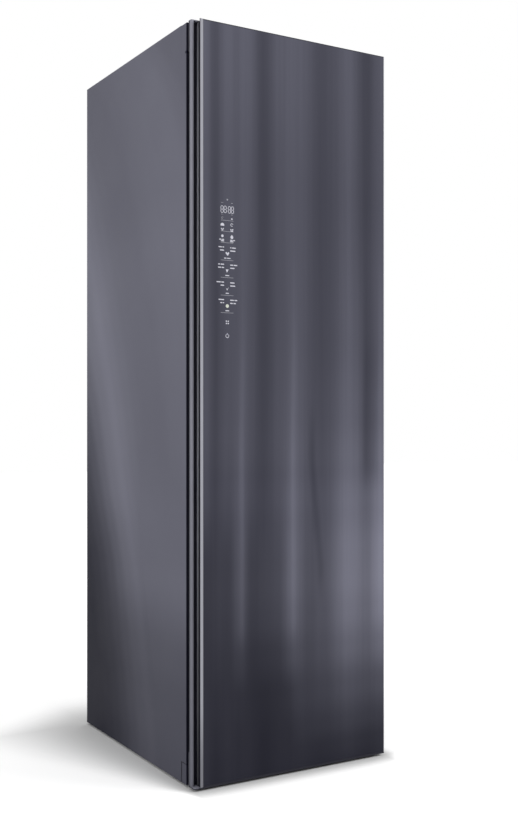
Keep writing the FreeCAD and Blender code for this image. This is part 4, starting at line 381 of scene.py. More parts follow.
def brushed(name, colour, roughness, along):
    """Metal brushed along one axis."""
    finish = Finish(name, {"Metallic": 1.0})
    stretch = tuple(BRUSH_STRETCH if axis == along else 1 for axis in "XYZ")
    lines = finish.noise(BRUSH_SCALE, 2, stretch)
    finish.link(finish.ramp(lines, [(0.3, scaled(colour, 0.86)), (0.7, colour)]), "Base Color")
    finish.link(finish.spread(lines, roughness + 0.08, roughness - 0.05), "Roughness")
    finish.bump(lines, 0.02 * MM, 0.6)
    return finish


def felt(name, colour):
    """Pressed fibres."""
    finish = Finish(name, {"Roughness": 0.95, "Sheen Weight": 0.3, "Specular IOR Level": 0.2})
    finish.mottle(colour, 0.16, 420, 6)
    finish.bump(finish.noise(900, 6), 0.6 * MM)
    return finish


def rubber(name, colour, roughness):
    """Matt rubber with a dusty unevenness."""
    finish = Finish(name, {"Specular IOR Level": 0.3})
    finish.mottle(colour, 0.15, 60)
    finish.uneven_gloss(roughness - 0.06, roughness + 0.08, 90)
    finish.bump(finish.noise(1400, 3), 0.05 * MM)
    return finish


def clear_tank(name, colour):
    """Smoky translucent plastic."""
    finish = Finish(name, {"Transmission Weight": 0.75, "IOR": 1.46})
    finish.mottle(colour, 0.05, 12)
    finish.uneven_gloss(0.10, 0.22, 25)
    finish.bump(finish.noise(120, 2), 0.03 * MM, 0.5)
    return finish


def glowing(name, colour, strength):
    """A lit surface."""
    finish = Finish(name, {
        "Emission Color": (*colour, 1), "Emission Strength": strength, "Roughness": 0.45,
    })
    finish.mottle(colour, 0.03, 40)
    return finish


def copper(name, colour):
    """Drawn tube with a patchy gloss."""
    finish = Finish(name, {"Metallic": 1.0})
    finish.mottle(colour, 0.18, 30, 4)
    finish.uneven_gloss(0.22, 0.42, 55, 4)
    finish.bump(finish.noise(700, 2), 0.02 * MM)
    return finish


def coil_fins(name):
    """Close-set aluminium fins, drawn as fine upright lines between the modelled ones."""
    finish = Finish(name, {"Metallic": 0.9, "Roughness": 0.38})
    texture = finish.add("ShaderNodeTexWave", {"Vector": finish.place(), "Scale": 95.0}, bands_direction="X")
    wave = texture.outputs["Fac"]
    finish.link(finish.ramp(wave, [(0.2, 0.22), (0.8, 0.66)]), "Base Color")
    finish.bump(wave, 0.4 * MM)
    return finish


# ---------------------------------------------------------------- materials of the outside

def tinted_glass():
    """The door's dark glass over a silk-effect film, with painted light in its colour: upright folds lit
    more towards the top, a painted sheen low on the right, painted highlights and painted shade.
    """
    finish = Finish("door_glass_silk_and_sheen", {
        "Roughness": 0.3, "Specular IOR Level": 0.12,
        "Coat Weight": 0.45, "Coat Roughness": 0.05, "Coat IOR": 1.3,
    })
    x, _, z = finish.split()
    height = finish.rise(z, 0, glass_high.z)
    sway = finish.spread(finish.noise(1.0, 1, (0.5, 0, 1.3)), -SWAY, SWAY)
    across = finish.sum(finish.rise(x, glass_low.x, glass_high.x), sway)
    # painted light and reflections: the lit folds, the sheen, the lightening near the foot and the crests
    lit_folds = finish.pattern(across, LIT_FOLDS, height, FOLD_LIGHT)
    sheen = finish.pattern(across, SHEEN, height, SHEEN_LIGHT)
    foot = finish.pattern(across, FOOT, height, FOOT_LIGHT)
    crest_highlights = finish.pattern(across, CREST_HIGHLIGHTS, height, CREST_LIGHT)
    light = finish.sum(finish.sum(lit_folds, sheen), finish.sum(foot, crest_highlights))

    # painted shade in a dip and a crease
    dip_shade = finish.pattern(across, DIP_SHADE, height, DIP_SHADE_DEPTH)
    slant = finish.spread(height, CREASE_SLANT, 0, CREASE_LOW, CREASE_HIGH)
    crease_shade = finish.pattern(finish.sum(across, slant), CREASE_SHADE, height, CREASE_SHADE_DEPTH)
    shade = finish.fall(finish.sum(dip_shade, crease_shade), 0, 1)

    threads = finish.spread(finish.noise(90, 3, (1, 1, 0.012)), 0.95, 1.05)
    finish.tinted(finish.product(light, finish.product(shade, threads)), DOOR_TINT)
    finish.bump(finish.noise(900, 1), 0.004 * MM, 0.3)
    return finish


def sheen_paint():
    """The sides' charcoal paint, with painted light: a soft ridge of light that climbs to the rear, and
    painted shade behind it.
    """
    finish = Finish("charcoal_paint_and_sheen", {
        "IOR": 1.3, "Specular IOR Level": 0.25,
        "Coat Weight": 0.05, "Coat Roughness": 0.3, "Coat IOR": 1.25,
    })
    _, y, z = finish.split()
    height = finish.rise(z, 0, CABINET_TOP)
    ridge = finish.spread(finish.ramp(height, RIDGE_PLACE), -RIDGE_FRONT, -RIDGE_REAR, 0, 1)
    width = finish.spread(height, NARROW, WIDE, NARROW_HEIGHT, WIDE_HEIGHT)
    behind = finish.product(finish.sum(y, ridge), width)
    band = finish.ramp(finish.rise(behind, -RIDGE_AHEAD, RIDGE_BEHIND), RIDGE_SHAPE, "EASE")
    ahead = finish.product(finish.fall(behind, -FORE_BLEND, 0), finish.ramp(height, RIDGE_FORE))
    light = finish.product(finish.larger(band, ahead), finish.ramp(height, RIDGE_LIGHT, "EASE"))

    flakes = finish.spread(finish.noise(FLAKE_SCALE), 0.9, 1.1)
    cloud = finish.spread(finish.noise(1.6, 2, CLOUD_STRETCH), 0.95, 1.05)
    paint = finish.product(light, finish.product(flakes, cloud))
    # painted shade: the folded front flange in the door's gap is darkened, as it lies in the door's shade
    flange_shade = finish.spread(y, FLANGE_SHADE, 1, BODY_FRONT + 1.4 * MM, BODY_FRONT + 2.0 * MM)
    # painted shade in the seams round the corner covers; there the paint turns metallic over its dark
    # colour, so it also reflects little
    seam_shade = cover_seam_shade(finish, y, z)
    finish.tinted(finish.product(finish.product(paint, flange_shade), seam_shade), SIDE_TINT)
    finish.link(finish.fall(seam_shade, 0, 1), "Metallic")
    finish.uneven_gloss(0.42, 0.5, 6)
    finish.orange_peel()
    return finish


def cover_seam_shade(finish, y, z):
    """Painted shade in the seams: 1, and near 0 round the lower corner covers and at the foot of the upper
    ones.
    """
    rear_start = COVER_REAR - COVER_SEAM_WIDTH
    rear = finish.spread(y, COVER_SEAM_SHADE, 1, rear_start, rear_start - 0.2 * MM)
    top = finish.spread(z, 1, COVER_SEAM_SHADE, LOWER_COVER_TOP - 2.2 * MM, LOWER_COVER_TOP - 2.0 * MM)
    beyond = finish.larger(finish.step(y, COVER_REAR + 0.2 * MM), finish.step(z, LOWER_COVER_TOP))
    lower = finish.larger(finish.smaller(rear, top), beyond)
    foot = finish.near(z, UPPER_COVER_FOOT, UPPER_SEAM_HALF)
    upper = finish.larger(finish.spread(foot, 1, COVER_SEAM_SHADE, 0, 1),
                          finish.step(y, COVER_SEAM_FRONT))
    return finish.smaller(lower, upper)


def channel_moulding():
    """The door's grey plastic edge, with painted light and shade: lighter outside, with a painted highlight
    on the lip's rounded front, and painted shade, near black, inside the finger channel and on the sill.
    """
    finish = Finish("door_edge_moulding_and_shade", {"Specular IOR Level": 0.3})
    x, y, z = finish.split()
    height = finish.rise(z, 0, glass_high.z)
    outside = finish.product(finish.ramp(height, LIP_TONE),
                             finish.ramp(finish.rise(y, LIP_FRONT, LIP_REAR), LIP_LIGHT))
    inside = finish.step(x, LIP_INSIDE, 0.5 * MM)
    # painted shade: on the sill, inside the channel and behind the stile and the caps
    sill_shade = finish.spread(z, SILL_SHADE, 0, SILL_TOP - 0.3 * MM, SILL_TOP - 0.1 * MM)
    rear_edge = finish.spread(z, CAP_REAR, STILE_REAR, LOWER_CAP_TOP, LOWER_CAP_TOP + 0.1 * MM)
    behind = finish.maths("GREATER_THAN", y, rear_edge)
    in_shade = finish.larger(finish.larger(inside, sill_shade), behind)
    lip = finish.product(outside, finish.spread(in_shade, 1, CHANNEL_SHADE, 0, 1))

    # painted light where the channel's two closed ends catch the light
    in_channel = finish.smaller(inside, finish.fall(x, LEFT_TRIM, LEFT_TRIM + 6 * MM))
    at_end = finish.larger(finish.near(z, SILL_TOP, 0.1 * MM), finish.step(z, UPPER_PLUG))
    ends = finish.product(finish.product(in_channel, at_end), END_LIGHT)

    cloud = finish.spread(finish.noise(9, 3), 0.95, 1.05)
    finish.tinted(finish.product(finish.larger(lip, ends), cloud), LIP_TINT)
    finish.uneven_gloss(0.42, 0.54, 35)
    finish.bump(finish.noise(GRAIN_SCALE, 3), 0.03 * MM)
    return finish


def edge_aluminium_and_shade():
    """Satin aluminium at the door's edges, with painted light and shade: the leaf behind the strip is
    painted near black as shade, with painted light on its foot.
    """
    finish = Finish("edge_aluminium_and_shade", {"Metallic": 0.5, "Specular IOR Level": 0.4})
    x, y, z = finish.split()
    height = finish.rise(z, 0, glass_high.z)
    # painted shade on the strip's rounded edges
    rounded = finish.smaller(
        finish.step(x, LEFT_TRIM + 0.9 * MM, 0.3 * MM),
        finish.spread(x, 1, STRIP_ROUNDING_SHADE, LEFT_TRIM + 8.2 * MM, LEFT_TRIM + 8.6 * MM),
    )
    on_face = finish.smaller(finish.fall(y, DOOR_FACE + 1.6 * MM, DOOR_FACE + 2.0 * MM), rounded)
    on_right = finish.step(x, 0)
    # painted light on the leaf's foot
    foot = finish.product(
        finish.spread(y, 0, LEAF_FOOT_HIGHLIGHT, LEAF_FOOT_FRONT - 1.2 * MM, LEAF_FOOT_FRONT),
        finish.ramp(height, LEAF_FOOT_LIGHT),
    )
    shown = finish.sum(finish.larger(on_face, on_right), foot)
    tone = finish.product(finish.ramp(height, STRIP_TONE), finish.larger(shown, LEAF_SHADE))
    lines = finish.noise(BRUSH_SCALE, 2, (1, 1, BRUSH_STRETCH))
    finish.tinted(finish.product(tone, finish.spread(lines, 0.93, 1.03)), TRIM_TINT)
    finish.link(finish.spread(lines, 0.46, 0.36), "Roughness")
    finish.bump(lines, 0.015 * MM, 0.6)
    return finish


def filter_mesh():
    """The lint filter: a dark frame whose walls carry a fine woven screen."""
    finish = Finish("filter_screen", {"Roughness": 0.5, "Specular IOR Level": 0.4})
    low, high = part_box("lint_filter")
    x, _, z = finish.split()
    threads = [
        finish.maths("ABSOLUTE", finish.maths("SINE", finish.product(value, math.pi / THREAD_PITCH)))
        for value in (x, z)
    ]
    weave = finish.larger(*threads)
    edge = 0.4 * MM
    left, right, foot, rim = low.x + FRAME_SIDE, high.x - FRAME_SIDE, low.z + FRAME_FOOT, high.z - FRAME_RIM
    sides = finish.smaller(finish.rise(x, left, left + edge), finish.fall(x, right - edge, right))
    ends = finish.smaller(finish.rise(z, foot, foot + edge), finish.fall(z, rim - edge, rim))
    inside = finish.smaller(sides, ends)
    screen = finish.product(finish.spread(weave, 0.02, 0.30, 0.55, 0.95), inside)
    surround = finish.product(finish.fall(inside, 0, 1), FRAME_TONE)
    finish.tinted(finish.sum(screen, surround), SCREEN_TINT)
    finish.bump(finish.product(weave, inside), 0.15 * MM)
    return finish


# ---------------------------------------------------------------- materials of the CAD nodes

finishes = {
    "side_paint": sheen_paint(),
    "rear_paint": painted("grey_paint", (0.20, 0.20, 0.215), 0.5, metallic=0.3, coat=0.1, seam=REAR_SEAM),
    "cover_plastic": moulded("dark_moulding", (0.075, 0.076, 0.095), 0.42),
    "trim_aluminium": edge_aluminium_and_shade(),
    "front_glass": tinted_glass(),
    "frame_plastic": moulded("frame_moulding", (0.20, 0.205, 0.22), 0.45),
    "liner_plastic": moulded("liner_moulding", (0.62, 0.63, 0.65), 0.38, grain=0.02 * MM, unevenness=0.012),
    "grille_plastic": moulded("grille_moulding", (0.22, 0.225, 0.24), 0.45),
    "felt": felt("pressed_felt", (0.42, 0.40, 0.36)),
    "seal_rubber": rubber("seal_rubber_black", (0.018, 0.018, 0.021), 0.55),
    "hose_rubber": rubber("hose_rubber_black", (0.03, 0.03, 0.03), 0.5),
    "foot_plastic": moulded("foot_moulding", (0.03, 0.03, 0.03), 0.5),
    "hinge_steel": brushed("zinc_steel", (0.52, 0.52, 0.53), 0.34, "X"),
    "bush_plastic": moulded("acetal", (0.72, 0.70, 0.64), 0.35, grain=0.01 * MM),
    "rail_aluminium": brushed("rail_aluminium_satin", (0.68, 0.69, 0.71), 0.28, "X"),
    "motor_steel": painted("motor_enamel", (0.035, 0.035, 0.037), 0.42, metallic=0.3, coat=0.2),
    "light_diffuser": glowing("light_diffuser_opal", (0.95, 0.95, 0.90), 1.6),
    "tank_plastic": clear_tank("tank_smoke", (0.55, 0.60, 0.64)),
    "tank_trim": moulded("tank_trim_moulding", (0.16, 0.165, 0.18), 0.35),
    "cassette_plastic": moulded("cassette_moulding", (0.34, 0.38, 0.40), 0.4),
    "duct_plastic": moulded("duct_moulding", (0.04, 0.04, 0.042), 0.5, grain=0.06 * MM),
    "coil_aluminium": coil_fins("coil_fins"),
    "compressor_paint": painted("compressor_enamel", (0.02, 0.02, 0.022), 0.36, metallic=0.1, coat=0.5),
    "pump_plastic": moulded("pump_moulding", (0.12, 0.125, 0.135), 0.45),
    "pipe_copper": copper("drawn_copper", (0.70, 0.36, 0.22)),
}
door_edge = channel_moulding()
# nodes whose finish differs from the rest of their slot
own_finishes = {
    "corner_covers": finishes["side_paint"],
    "door_stiles": door_edge,
    "door_top_cap": door_edge,
    "door_bottom_cap": door_edge,
    "lint_filter": filter_mesh(),
}
for subpart in frame["record"]["subparts"]:
    finish = own_finishes.get(subpart["node"], finishes[subpart["material_slot"]])
    for material_slot in nodes[subpart["node"]].material_slots:
        material_slot.material = finish.material


# ---------------------------------------------------------------- thin signs

def new_piece(name, mesh, finish):
    """Turns a finished mesh into an object of the scene."""
    data = bpy.data.meshes.new(name)
    mesh.to_mesh(data)
    mesh.free()
    data.materials.append(finish.material)
    piece = bpy.data.objects.new(name, data)
    scene.collection.objects.link(piece)
    return piece


def arc(x, z, radius, start, end, count):
    """Points along an arc between two angles."""
    angles = [start + (end - start) * i / count for i in range(count + 1)]
    return [(x + radius * math.cos(angle), z + radius * math.sin(angle)) for angle in angles]


class Signs:
    """Thin flat signs on a face, collected in one mesh. Their outlines are in X and Z on an upright
    face that looks to the front, or in X and Y on a level one that looks up."""

    def __init__(self, thickness, face, level=False):
        self.mesh = bmesh.new()
        self.thickness = thickness
        self.face = face
        self.level = level

    def spot(self, x, across, rise):
        """A point of an outline, the given rise in front of the face."""
        return (x, across, self.face + rise) if self.level else (x, self.face - rise, across)

    def plate(self, points):
        """A flat piece with the given outline, just proud of the face."""
        back = [self.mesh.verts.new(self.spot(*point, 0)) for point in points]
        front = [self.mesh.verts.new(self.spot(*point, self.thickness)) for point in points]
        self.mesh.faces.new(front)
        self.mesh.faces.new(back[::-1])
        for i in range(len(points)):
            j = (i + 1) % len(points)
            self.mesh.faces.new((front[i], back[i], back[j], front[j]))

    def dash(self, left, right, z, height):
        """A short bar with round ends."""
        radius = height / 2
        quarter = math.pi / 2
        self.plate(arc(right - radius, z, radius, -quarter, quarter, 5)
                   + arc(left + radius, z, radius, quarter, 3 * quarter, 5))

    def disc(self, x, z, radius):
        self.plate(arc(x, z, radius, 0, math.tau, 20)[:-1])

    def band(self, x, z, radius, width, start, end):
        """Part of a ring."""
        self.plate(arc(x, z, radius + width / 2, start, end, 14)
                   + arc(x, z, radius - width / 2, end, start, 14))

    def drop(self, x, z, radius, shoulder, tip, steps):
        """A round foot up to the shoulders' angle over the level, and a tip above."""
        self.plate(arc(x, z, radius, -math.pi - shoulder, shoulder, steps) + [(x, z + tip)])

    def segment(self, start, end, half):
        """One pointed bar of a digit, level or upright."""
        (x0, z0), (x1, z1) = start, end
        dx, dz = (half, 0) if z0 == z1 else (0, half)
        self.plate([
            (x0, z0), (x0 + dx + dz, z0 + dz - dx), (x1 - dx + dz, z1 - dz - dx),
            (x1, z1), (x1 - dx - dz, z1 - dz + dx), (x0 + dx - dz, z0 + dz + dx),
        ])

    def finished(self, name, finish):
        bmesh.ops.recalc_face_normals(self.mesh, faces=self.mesh.faces)
        return new_piece(name, self.mesh, finish)


# ---------------------------------------------------------------- the control panel's lit signs

SIGN_THICKNESS = 0.05 * MM
SIGN_CENTRE = CABINET_LEFT + 89.8 * MM
LEFT_COLUMN = CABINET_LEFT + 76.2 * MM
RIGHT_COLUMN = CABINET_LEFT + 102.4 * MM
LEFT_TEXT_END = CABINET_LEFT + 81 * MM
RIGHT_TEXT_START = CABINET_LEFT + 97.5 * MM
TEXT_HEIGHT = 2.6 * MM
CAPTION_HEIGHT = 1.5 * MM
LABEL_HEIGHT = 2.2 * MM
WORD_GAP = 1.2 * MM
# how a line of text stands to its x: it ends there, is centred on it, or starts there
ENDS, CENTRED, STARTS = -1, 0, 1

# heights over the floor
NETWORK_Z = 1.4215
CLOCK_Z = 1.3988
CAPTIONS_Z = (1.4148, 1.3868)
LEFT_STATE_Z, RIGHT_STATE_Z = 1.378, 1.377
DOME_Z, DOME_FOOT_Z = 1.3605, 1.3588
RING_Z = 1.3626
LEAF_Z, DROP_Z = 1.3343, 1.3325
MENU_Z, POWER_Z, POWER_BAR_Z = 1.1254, 1.0925, 1.0972
DIVIDERS = [1.3723, 1.3458, 1.3183, 1.2758, 1.2339, 1.1908, 1.1485]
FIRST_GROUP = 3

DIGITS = (-14.6, -5.9, 5.9, 14.2)
DIGIT_WIDTH, DIGIT_HEIGHT, DIGIT_STROKE = 6.5 * MM, 15.8 * MM, 1.35 * MM
# lines of text, as x, z, lengths of the words in mm, and how the line stands
DOME_WORDS = [
    (LEFT_COLUMN, 1.3518, (3.4, 3.6), CENTRED), (LEFT_COLUMN, 1.3486, (5.0,), CENTRED),
    (RIGHT_COLUMN, 1.3512, (3.2, 4.4), CENTRED), (RIGHT_COLUMN, 1.3478, (7.4,), CENTRED),
]
LEAF_WORDS = [
    (LEFT_TEXT_END, 1.3256, (6.5, 6.0), ENDS), (LEFT_TEXT_END, 1.3222, (9.0,), ENDS),
    (RIGHT_TEXT_START, 1.3252, (7.0, 5.5), STARTS), (RIGHT_TEXT_START, 1.3218, (9.5,), STARTS),
]
# the programme groups: two lines on the left, two on the right, and the label below
GROUP_WORDS = [
    (((9.5, 5.0), (12.0,)), ((4.0, 11.0), (15.0,)), (7.0, 10.0)),
    (((5.5, 10.0), (9.0, 7.0)), ((9.0, 10.0), (12.5,)), (11.0,)),
    (((12.0, 8.0), (10.0,)), ((12.5,), (14.5,)), (9.0,)),
    (((15.5,), (5.5, 4.0)), ((11.0, 8.0), (8.0, 7.0)), (10.5,)),
]
# in mm over the group's divider: the upper lines, the way to the lower ones, and the label
LEFT_LINE, RIGHT_LINE, LINE_PITCH, LABEL_LINE = 31.6, 31.0, 7.6, 5.0
# the first three groups' icons, in mm round the sign's middle: a heart, a shirt and a tick
GROUP_ICONS = [
    [(1.0, -5.4), (5.6, 1.6), (3.4, 4.6), (0, 1.8), (-3.0, 4.6), (-5.4, 1.8)],
    [(-4.4, 3.8), (-1.2, -4.0), (0.8, -1.0), (3.6, 3.8)],
    [(-3.6, 1.2), (-0.4, -4.2), (4.2, 4.2), (-0.2, -0.6)],
]
ICON_LINE, LIT_LINE = 16, 16.5


def words(signs, x, z, lengths, align, height=TEXT_HEIGHT):
    """A line of text as short dashes."""
    total = sum(lengths) * MM + WORD_GAP * (len(lengths) - 1)
    left = x - total * (1 - align) / 2
    for length in lengths:
        signs.dash(left, left + length * MM, z, height)
        left += length * MM + WORD_GAP


def digit(signs, x, z):
    """All seven segments of one digit, centred at x and z."""
    half_width, half_height, half_stroke = DIGIT_WIDTH / 2, DIGIT_HEIGHT / 2, DIGIT_STROKE / 2
    gap = DIGIT_STROKE * 0.35
    for level in (-half_height, 0, half_height):
        signs.segment((x - half_width + gap, z + level), (x + half_width - gap, z + level), half_stroke)
    for side in (-half_width, half_width):
        for low in (-half_height, 0):
            signs.segment((x + side, z + low + gap), (x + side, z + low + half_height - gap), half_stroke)


def clock(signs, dim):
    """The network sign, four digits with their colon, captions and two state icons."""
    for radius in (1.2, 2.6):
        signs.band(SIGN_CENTRE, NETWORK_Z, radius * MM, 0.8 * MM, math.radians(45), math.radians(135))
    signs.disc(SIGN_CENTRE, NETWORK_Z, 0.7 * MM)
    for offset in DIGITS:
        digit(signs, SIGN_CENTRE + offset * MM, CLOCK_Z)
    for level in (-3.4, 3.4):
        signs.disc(SIGN_CENTRE, CLOCK_Z + level * MM, 0.7 * MM)
    for offset in (-14, 13):
        for level in CAPTIONS_Z:
            words(dim, SIGN_CENTRE + offset * MM, level, (2.2, 1.6), CENTRED, CAPTION_HEIGHT)
    dim.band(LEFT_COLUMN, LEFT_STATE_Z, 2.2 * MM, 0.9 * MM, 0.4, 5.2)
    signs.disc(RIGHT_COLUMN, RIGHT_STATE_Z, 2.0 * MM)


def quick_keys(signs):
    """A dome and an open ring, and below them a small leaf and a drop, each with its words."""
    dome = 5.2 * MM
    signs.plate(arc(LEFT_COLUMN, DOME_Z, dome, 0, math.pi, 12)
                + [(LEFT_COLUMN - dome, DOME_FOOT_Z), (LEFT_COLUMN + dome, DOME_FOOT_Z)])
    signs.band(RIGHT_COLUMN, RING_Z, 3.2 * MM, 1.3 * MM, 0.3, 5.4)
    for line in DOME_WORDS:
        words(signs, *line)
    signs.disc(LEFT_COLUMN, LEAF_Z, 3.3 * MM)
    signs.drop(RIGHT_COLUMN, DROP_Z, 4.0 * MM, math.radians(20), 6.3 * MM, 12)
    for line in LEAF_WORDS:
        words(signs, *line)


def programme_groups(signs):
    """Four groups of words round an icon, with a label below; the last group's icon is lit."""
    for base, (left, right, below) in zip(DIVIDERS[FIRST_GROUP:], GROUP_WORDS):
        for line, (left_words, right_words) in enumerate(zip(left, right)):
            lower = LINE_PITCH * line
            words(signs, LEFT_TEXT_END, base + (LEFT_LINE - lower) * MM, left_words, ENDS)
            words(signs, RIGHT_TEXT_START, base + (RIGHT_LINE - lower) * MM, right_words, STARTS)
        words(signs, SIGN_CENTRE, base + LABEL_LINE * MM, below, CENTRED, LABEL_HEIGHT)
    for base, icon in zip(DIVIDERS[FIRST_GROUP:], GROUP_ICONS):
        middle = base + ICON_LINE * MM
        signs.plate([(SIGN_CENTRE + x * MM, middle + z * MM) for x, z in icon])


def menu_keys(signs):
    """The menu key's four short bars and the power key."""
    offset, half_bar = 2.6 * MM, 1.9 * MM
    for x_side in (-1, 1):
        for z_side in (-1, 1):
            x = SIGN_CENTRE + x_side * offset
            signs.dash(x - half_bar, x + half_bar, MENU_Z + z_side * 2.7 * MM, 3.4 * MM)
    signs.band(SIGN_CENTRE, POWER_Z, 4.3 * MM, 1.3 * MM, math.radians(125), math.radians(415))
    signs.dash(SIGN_CENTRE - 0.7 * MM, SIGN_CENTRE + 0.7 * MM, POWER_BAR_Z, 4.2 * MM)


signs, dim, lit = (Signs(SIGN_THICKNESS, DOOR_FACE) for _ in range(3))
clock(signs, dim)
for level in DIVIDERS:
    dim.dash(SIGN_CENTRE - 18 * MM, SIGN_CENTRE + 17 * MM, level, 0.9 * MM)
quick_keys(signs)
programme_groups(signs)
lit.disc(SIGN_CENTRE, DIVIDERS[-1] + LIT_LINE * MM, 4.4 * MM)
menu_keys(signs)

sign_white = glowing("sign_white", (0.52, 0.52, 0.58), 0.28)
sign_dim = glowing("sign_dim", (0.34, 0.34, 0.38), 0.12)
sign_lit = glowing("sign_lit", (0.54, 0.57, 0.49), 0.26)
for group, name, finish in (
    (signs, "display_signs", sign_white), (dim, "display_dim_signs", sign_dim),
    (lit, "display_lit_sign", sign_lit),
):
    sign_piece = group.finished(name, finish)
    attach(sign_piece, "door")


# ---------------------------------------------------------------- marks on the tanks

mark_grey = moulded("mark_print", (0.55, 0.57, 0.60), 0.5)
LID_BODIES = {"supply_tank": "supply_lid", "drain_tank": "drain_lid"}
SCALE_THICKNESS, DROP_THICKNESS = 0.3 * MM, 0.25 * MM
SCALE_OFFSET, SCALE_FOOT, SCALE_PITCH, SCALE_LINES = 40 * MM, 40 * MM, 18 * MM, 9
LONG_LINE, SHORT_LINE = 11 * MM, 5 * MM


def tank_marks(tank):
    """The level scale on a tank's front and the drop on its lid."""
    low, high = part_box(tank)
    scale = Signs(SCALE_THICKNESS, low.y)
    middle = (low.x + high.x) / 2 - SCALE_OFFSET
    for line in range(SCALE_LINES):
        half = LONG_LINE if line % 4 == 0 else SHORT_LINE
        scale.dash(middle - half, middle + half, low.z + SCALE_FOOT + SCALE_PITCH * line, 1.4 * MM)
    piece = scale.finished(f"{tank}_scale", mark_grey)
    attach(piece, tank)

    lid_low, lid_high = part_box(f"{tank}_lid")
    x, y = (lid_low.x + lid_high.x) / 2, (lid_low.y + lid_high.y) / 2 - 3 * MM
    sign = Signs(DROP_THICKNESS, lid_high.z, level=True)
    sign.drop(x, y, 5 * MM, math.radians(25), 12 * MM, 16)
    piece = sign.finished(f"{tank}_lid_drop", mark_grey)
    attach(piece, LID_BODIES[tank])


for tank in LID_BODIES:
    tank_marks(tank)


# ---------------------------------------------------------------- fasteners

# a pan head with a hexagonal socket: share of the radius, rise as a share of it, and corners
SCREW_SEGMENTS = 24
ROUND, HEXAGONAL = 1, 6
SCREW_PROFILE = [
    (0.98, 0.0, ROUND), (1.0, 0.16, ROUND), (0.94, 0.42, ROUND), (0.74, 0.6, ROUND),
    (0.46, 0.62, HEXAGONAL), (0.42, 0.22, HEXAGONAL),
]


def screw_head(mesh, spot, direction, radius):
    """A screw's head, its seat at spot and its top along direction."""
    aim = Vector((0, 0, 1)).rotation_difference(Vector(direction))
    turn = Matrix.Translation(spot) @ aim.to_matrix().to_4x4()
    rings = []
    for share, rise, corners in SCREW_PROFILE:
        ring = []
        for i in range(SCREW_SEGMENTS):
            angle = math.tau * i / SCREW_SEGMENTS
            reach = share * radius
            if corners == HEXAGONAL:
                reach *= math.cos(math.pi / 6) / math.cos((angle % (math.pi / 3)) - math.pi / 6)
            point = Vector((reach * math.cos(angle), reach * math.sin(angle), rise * radius))
            ring.append(mesh.verts.new(turn @ point))
        rings.append(ring)
    for low, high in zip(rings, rings[1:]):
        for i in range(SCREW_SEGMENTS):
            j = (i + 1) % SCREW_SEGMENTS
            mesh.faces.new((low[i], low[j], high[j], high[i]))
    mesh.faces.new(rings[0][::-1])
    mesh.faces.new(rings[-1])


def screws(name, body, spots, direction, radius, finish):
    """A set of equal screws in one mesh."""
    mesh = bmesh.new()
    for spot in spots:
        screw_head(mesh, spot, direction, radius)
    piece = new_piece(name, mesh, finish)
    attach(piece, body)


def spaced(low, high, count):
    return [low + (high - low) * i / (count - 1) for i in range(count)]


def edge_spots(node, y, inset, rows, across):
    """Spots down both side edges of a panel, and between them along its top."""
    low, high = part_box(node)
    left, right, bottom, top = low.x + inset, high.x - inset, low.z + inset, high.z - inset
    sides = [(x, y, z) for x in (left, right) for z in spaced(bottom, top, rows)]
    return sides + [(x, y, top) for x in spaced(left, right, across)[1:-1]]


dark_screw = brushed("screw_black_zinc", (0.16, 0.16, 0.17), 0.36, "Z")
steel_screw = brushed("screw_zinc", (0.55, 0.55, 0.56), 0.32, "Z")
TO_FRONT, TO_REAR = (0, -1, 0), (0, 1, 0)
FRONT_INSET, REAR_INSET = 14 * MM, 9 * MM
FRONT_SCREW, REAR_SCREW = 3.6 * MM, 4 * MM
front_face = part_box("lower_front_panel")[0].y
rear_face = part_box("back_panel")[1].y
screws("front_panel_screws", "cabinet",
       edge_spots("lower_front_panel", front_face, FRONT_INSET, 2, 2), TO_FRONT, FRONT_SCREW, steel_screw)
screws("back_panel_screws", "cabinet",
       edge_spots("back_panel", rear_face, REAR_INSET, 7, 4), TO_REAR, REAR_SCREW, dark_screw)
screws("service_cover_screws", "cabinet",
       edge_spots("rear_service_cover", rear_face, REAR_INSET, 3, 4), TO_REAR, REAR_SCREW, dark_screw)


# ---------------------------------------------------------------- floor

FLOOR_HALF = 14
FLOOR_GREY = (0.62, 0.62, 0.62)
NEAR_GLOW, FAR_GLOW = 0.5, 1.0
FAR_START, FAR_END = 0.9, 3.2
# how far the painted shadow reaches beyond the footprint; on the left it grows towards the rear
LEFT_REACH_FRONT, LEFT_REACH_REAR = 0.03, 0.42
LEFT_SPAN = 1.2
RIGHT_REACH, FRONT_REACH, REAR_REACH = 0.05, 0.07, 0.3


def seen_directly(tree, path):
    """1 where the surface is seen, straight or through clear pieces, and 0 where it gives light."""
    seen = add_node(tree, "ShaderNodeMath", {
        0: path.outputs["Is Camera Ray"], 1: path.outputs["Is Transmission Ray"],
    }, operation="MAXIMUM")
    return seen.outputs[0]


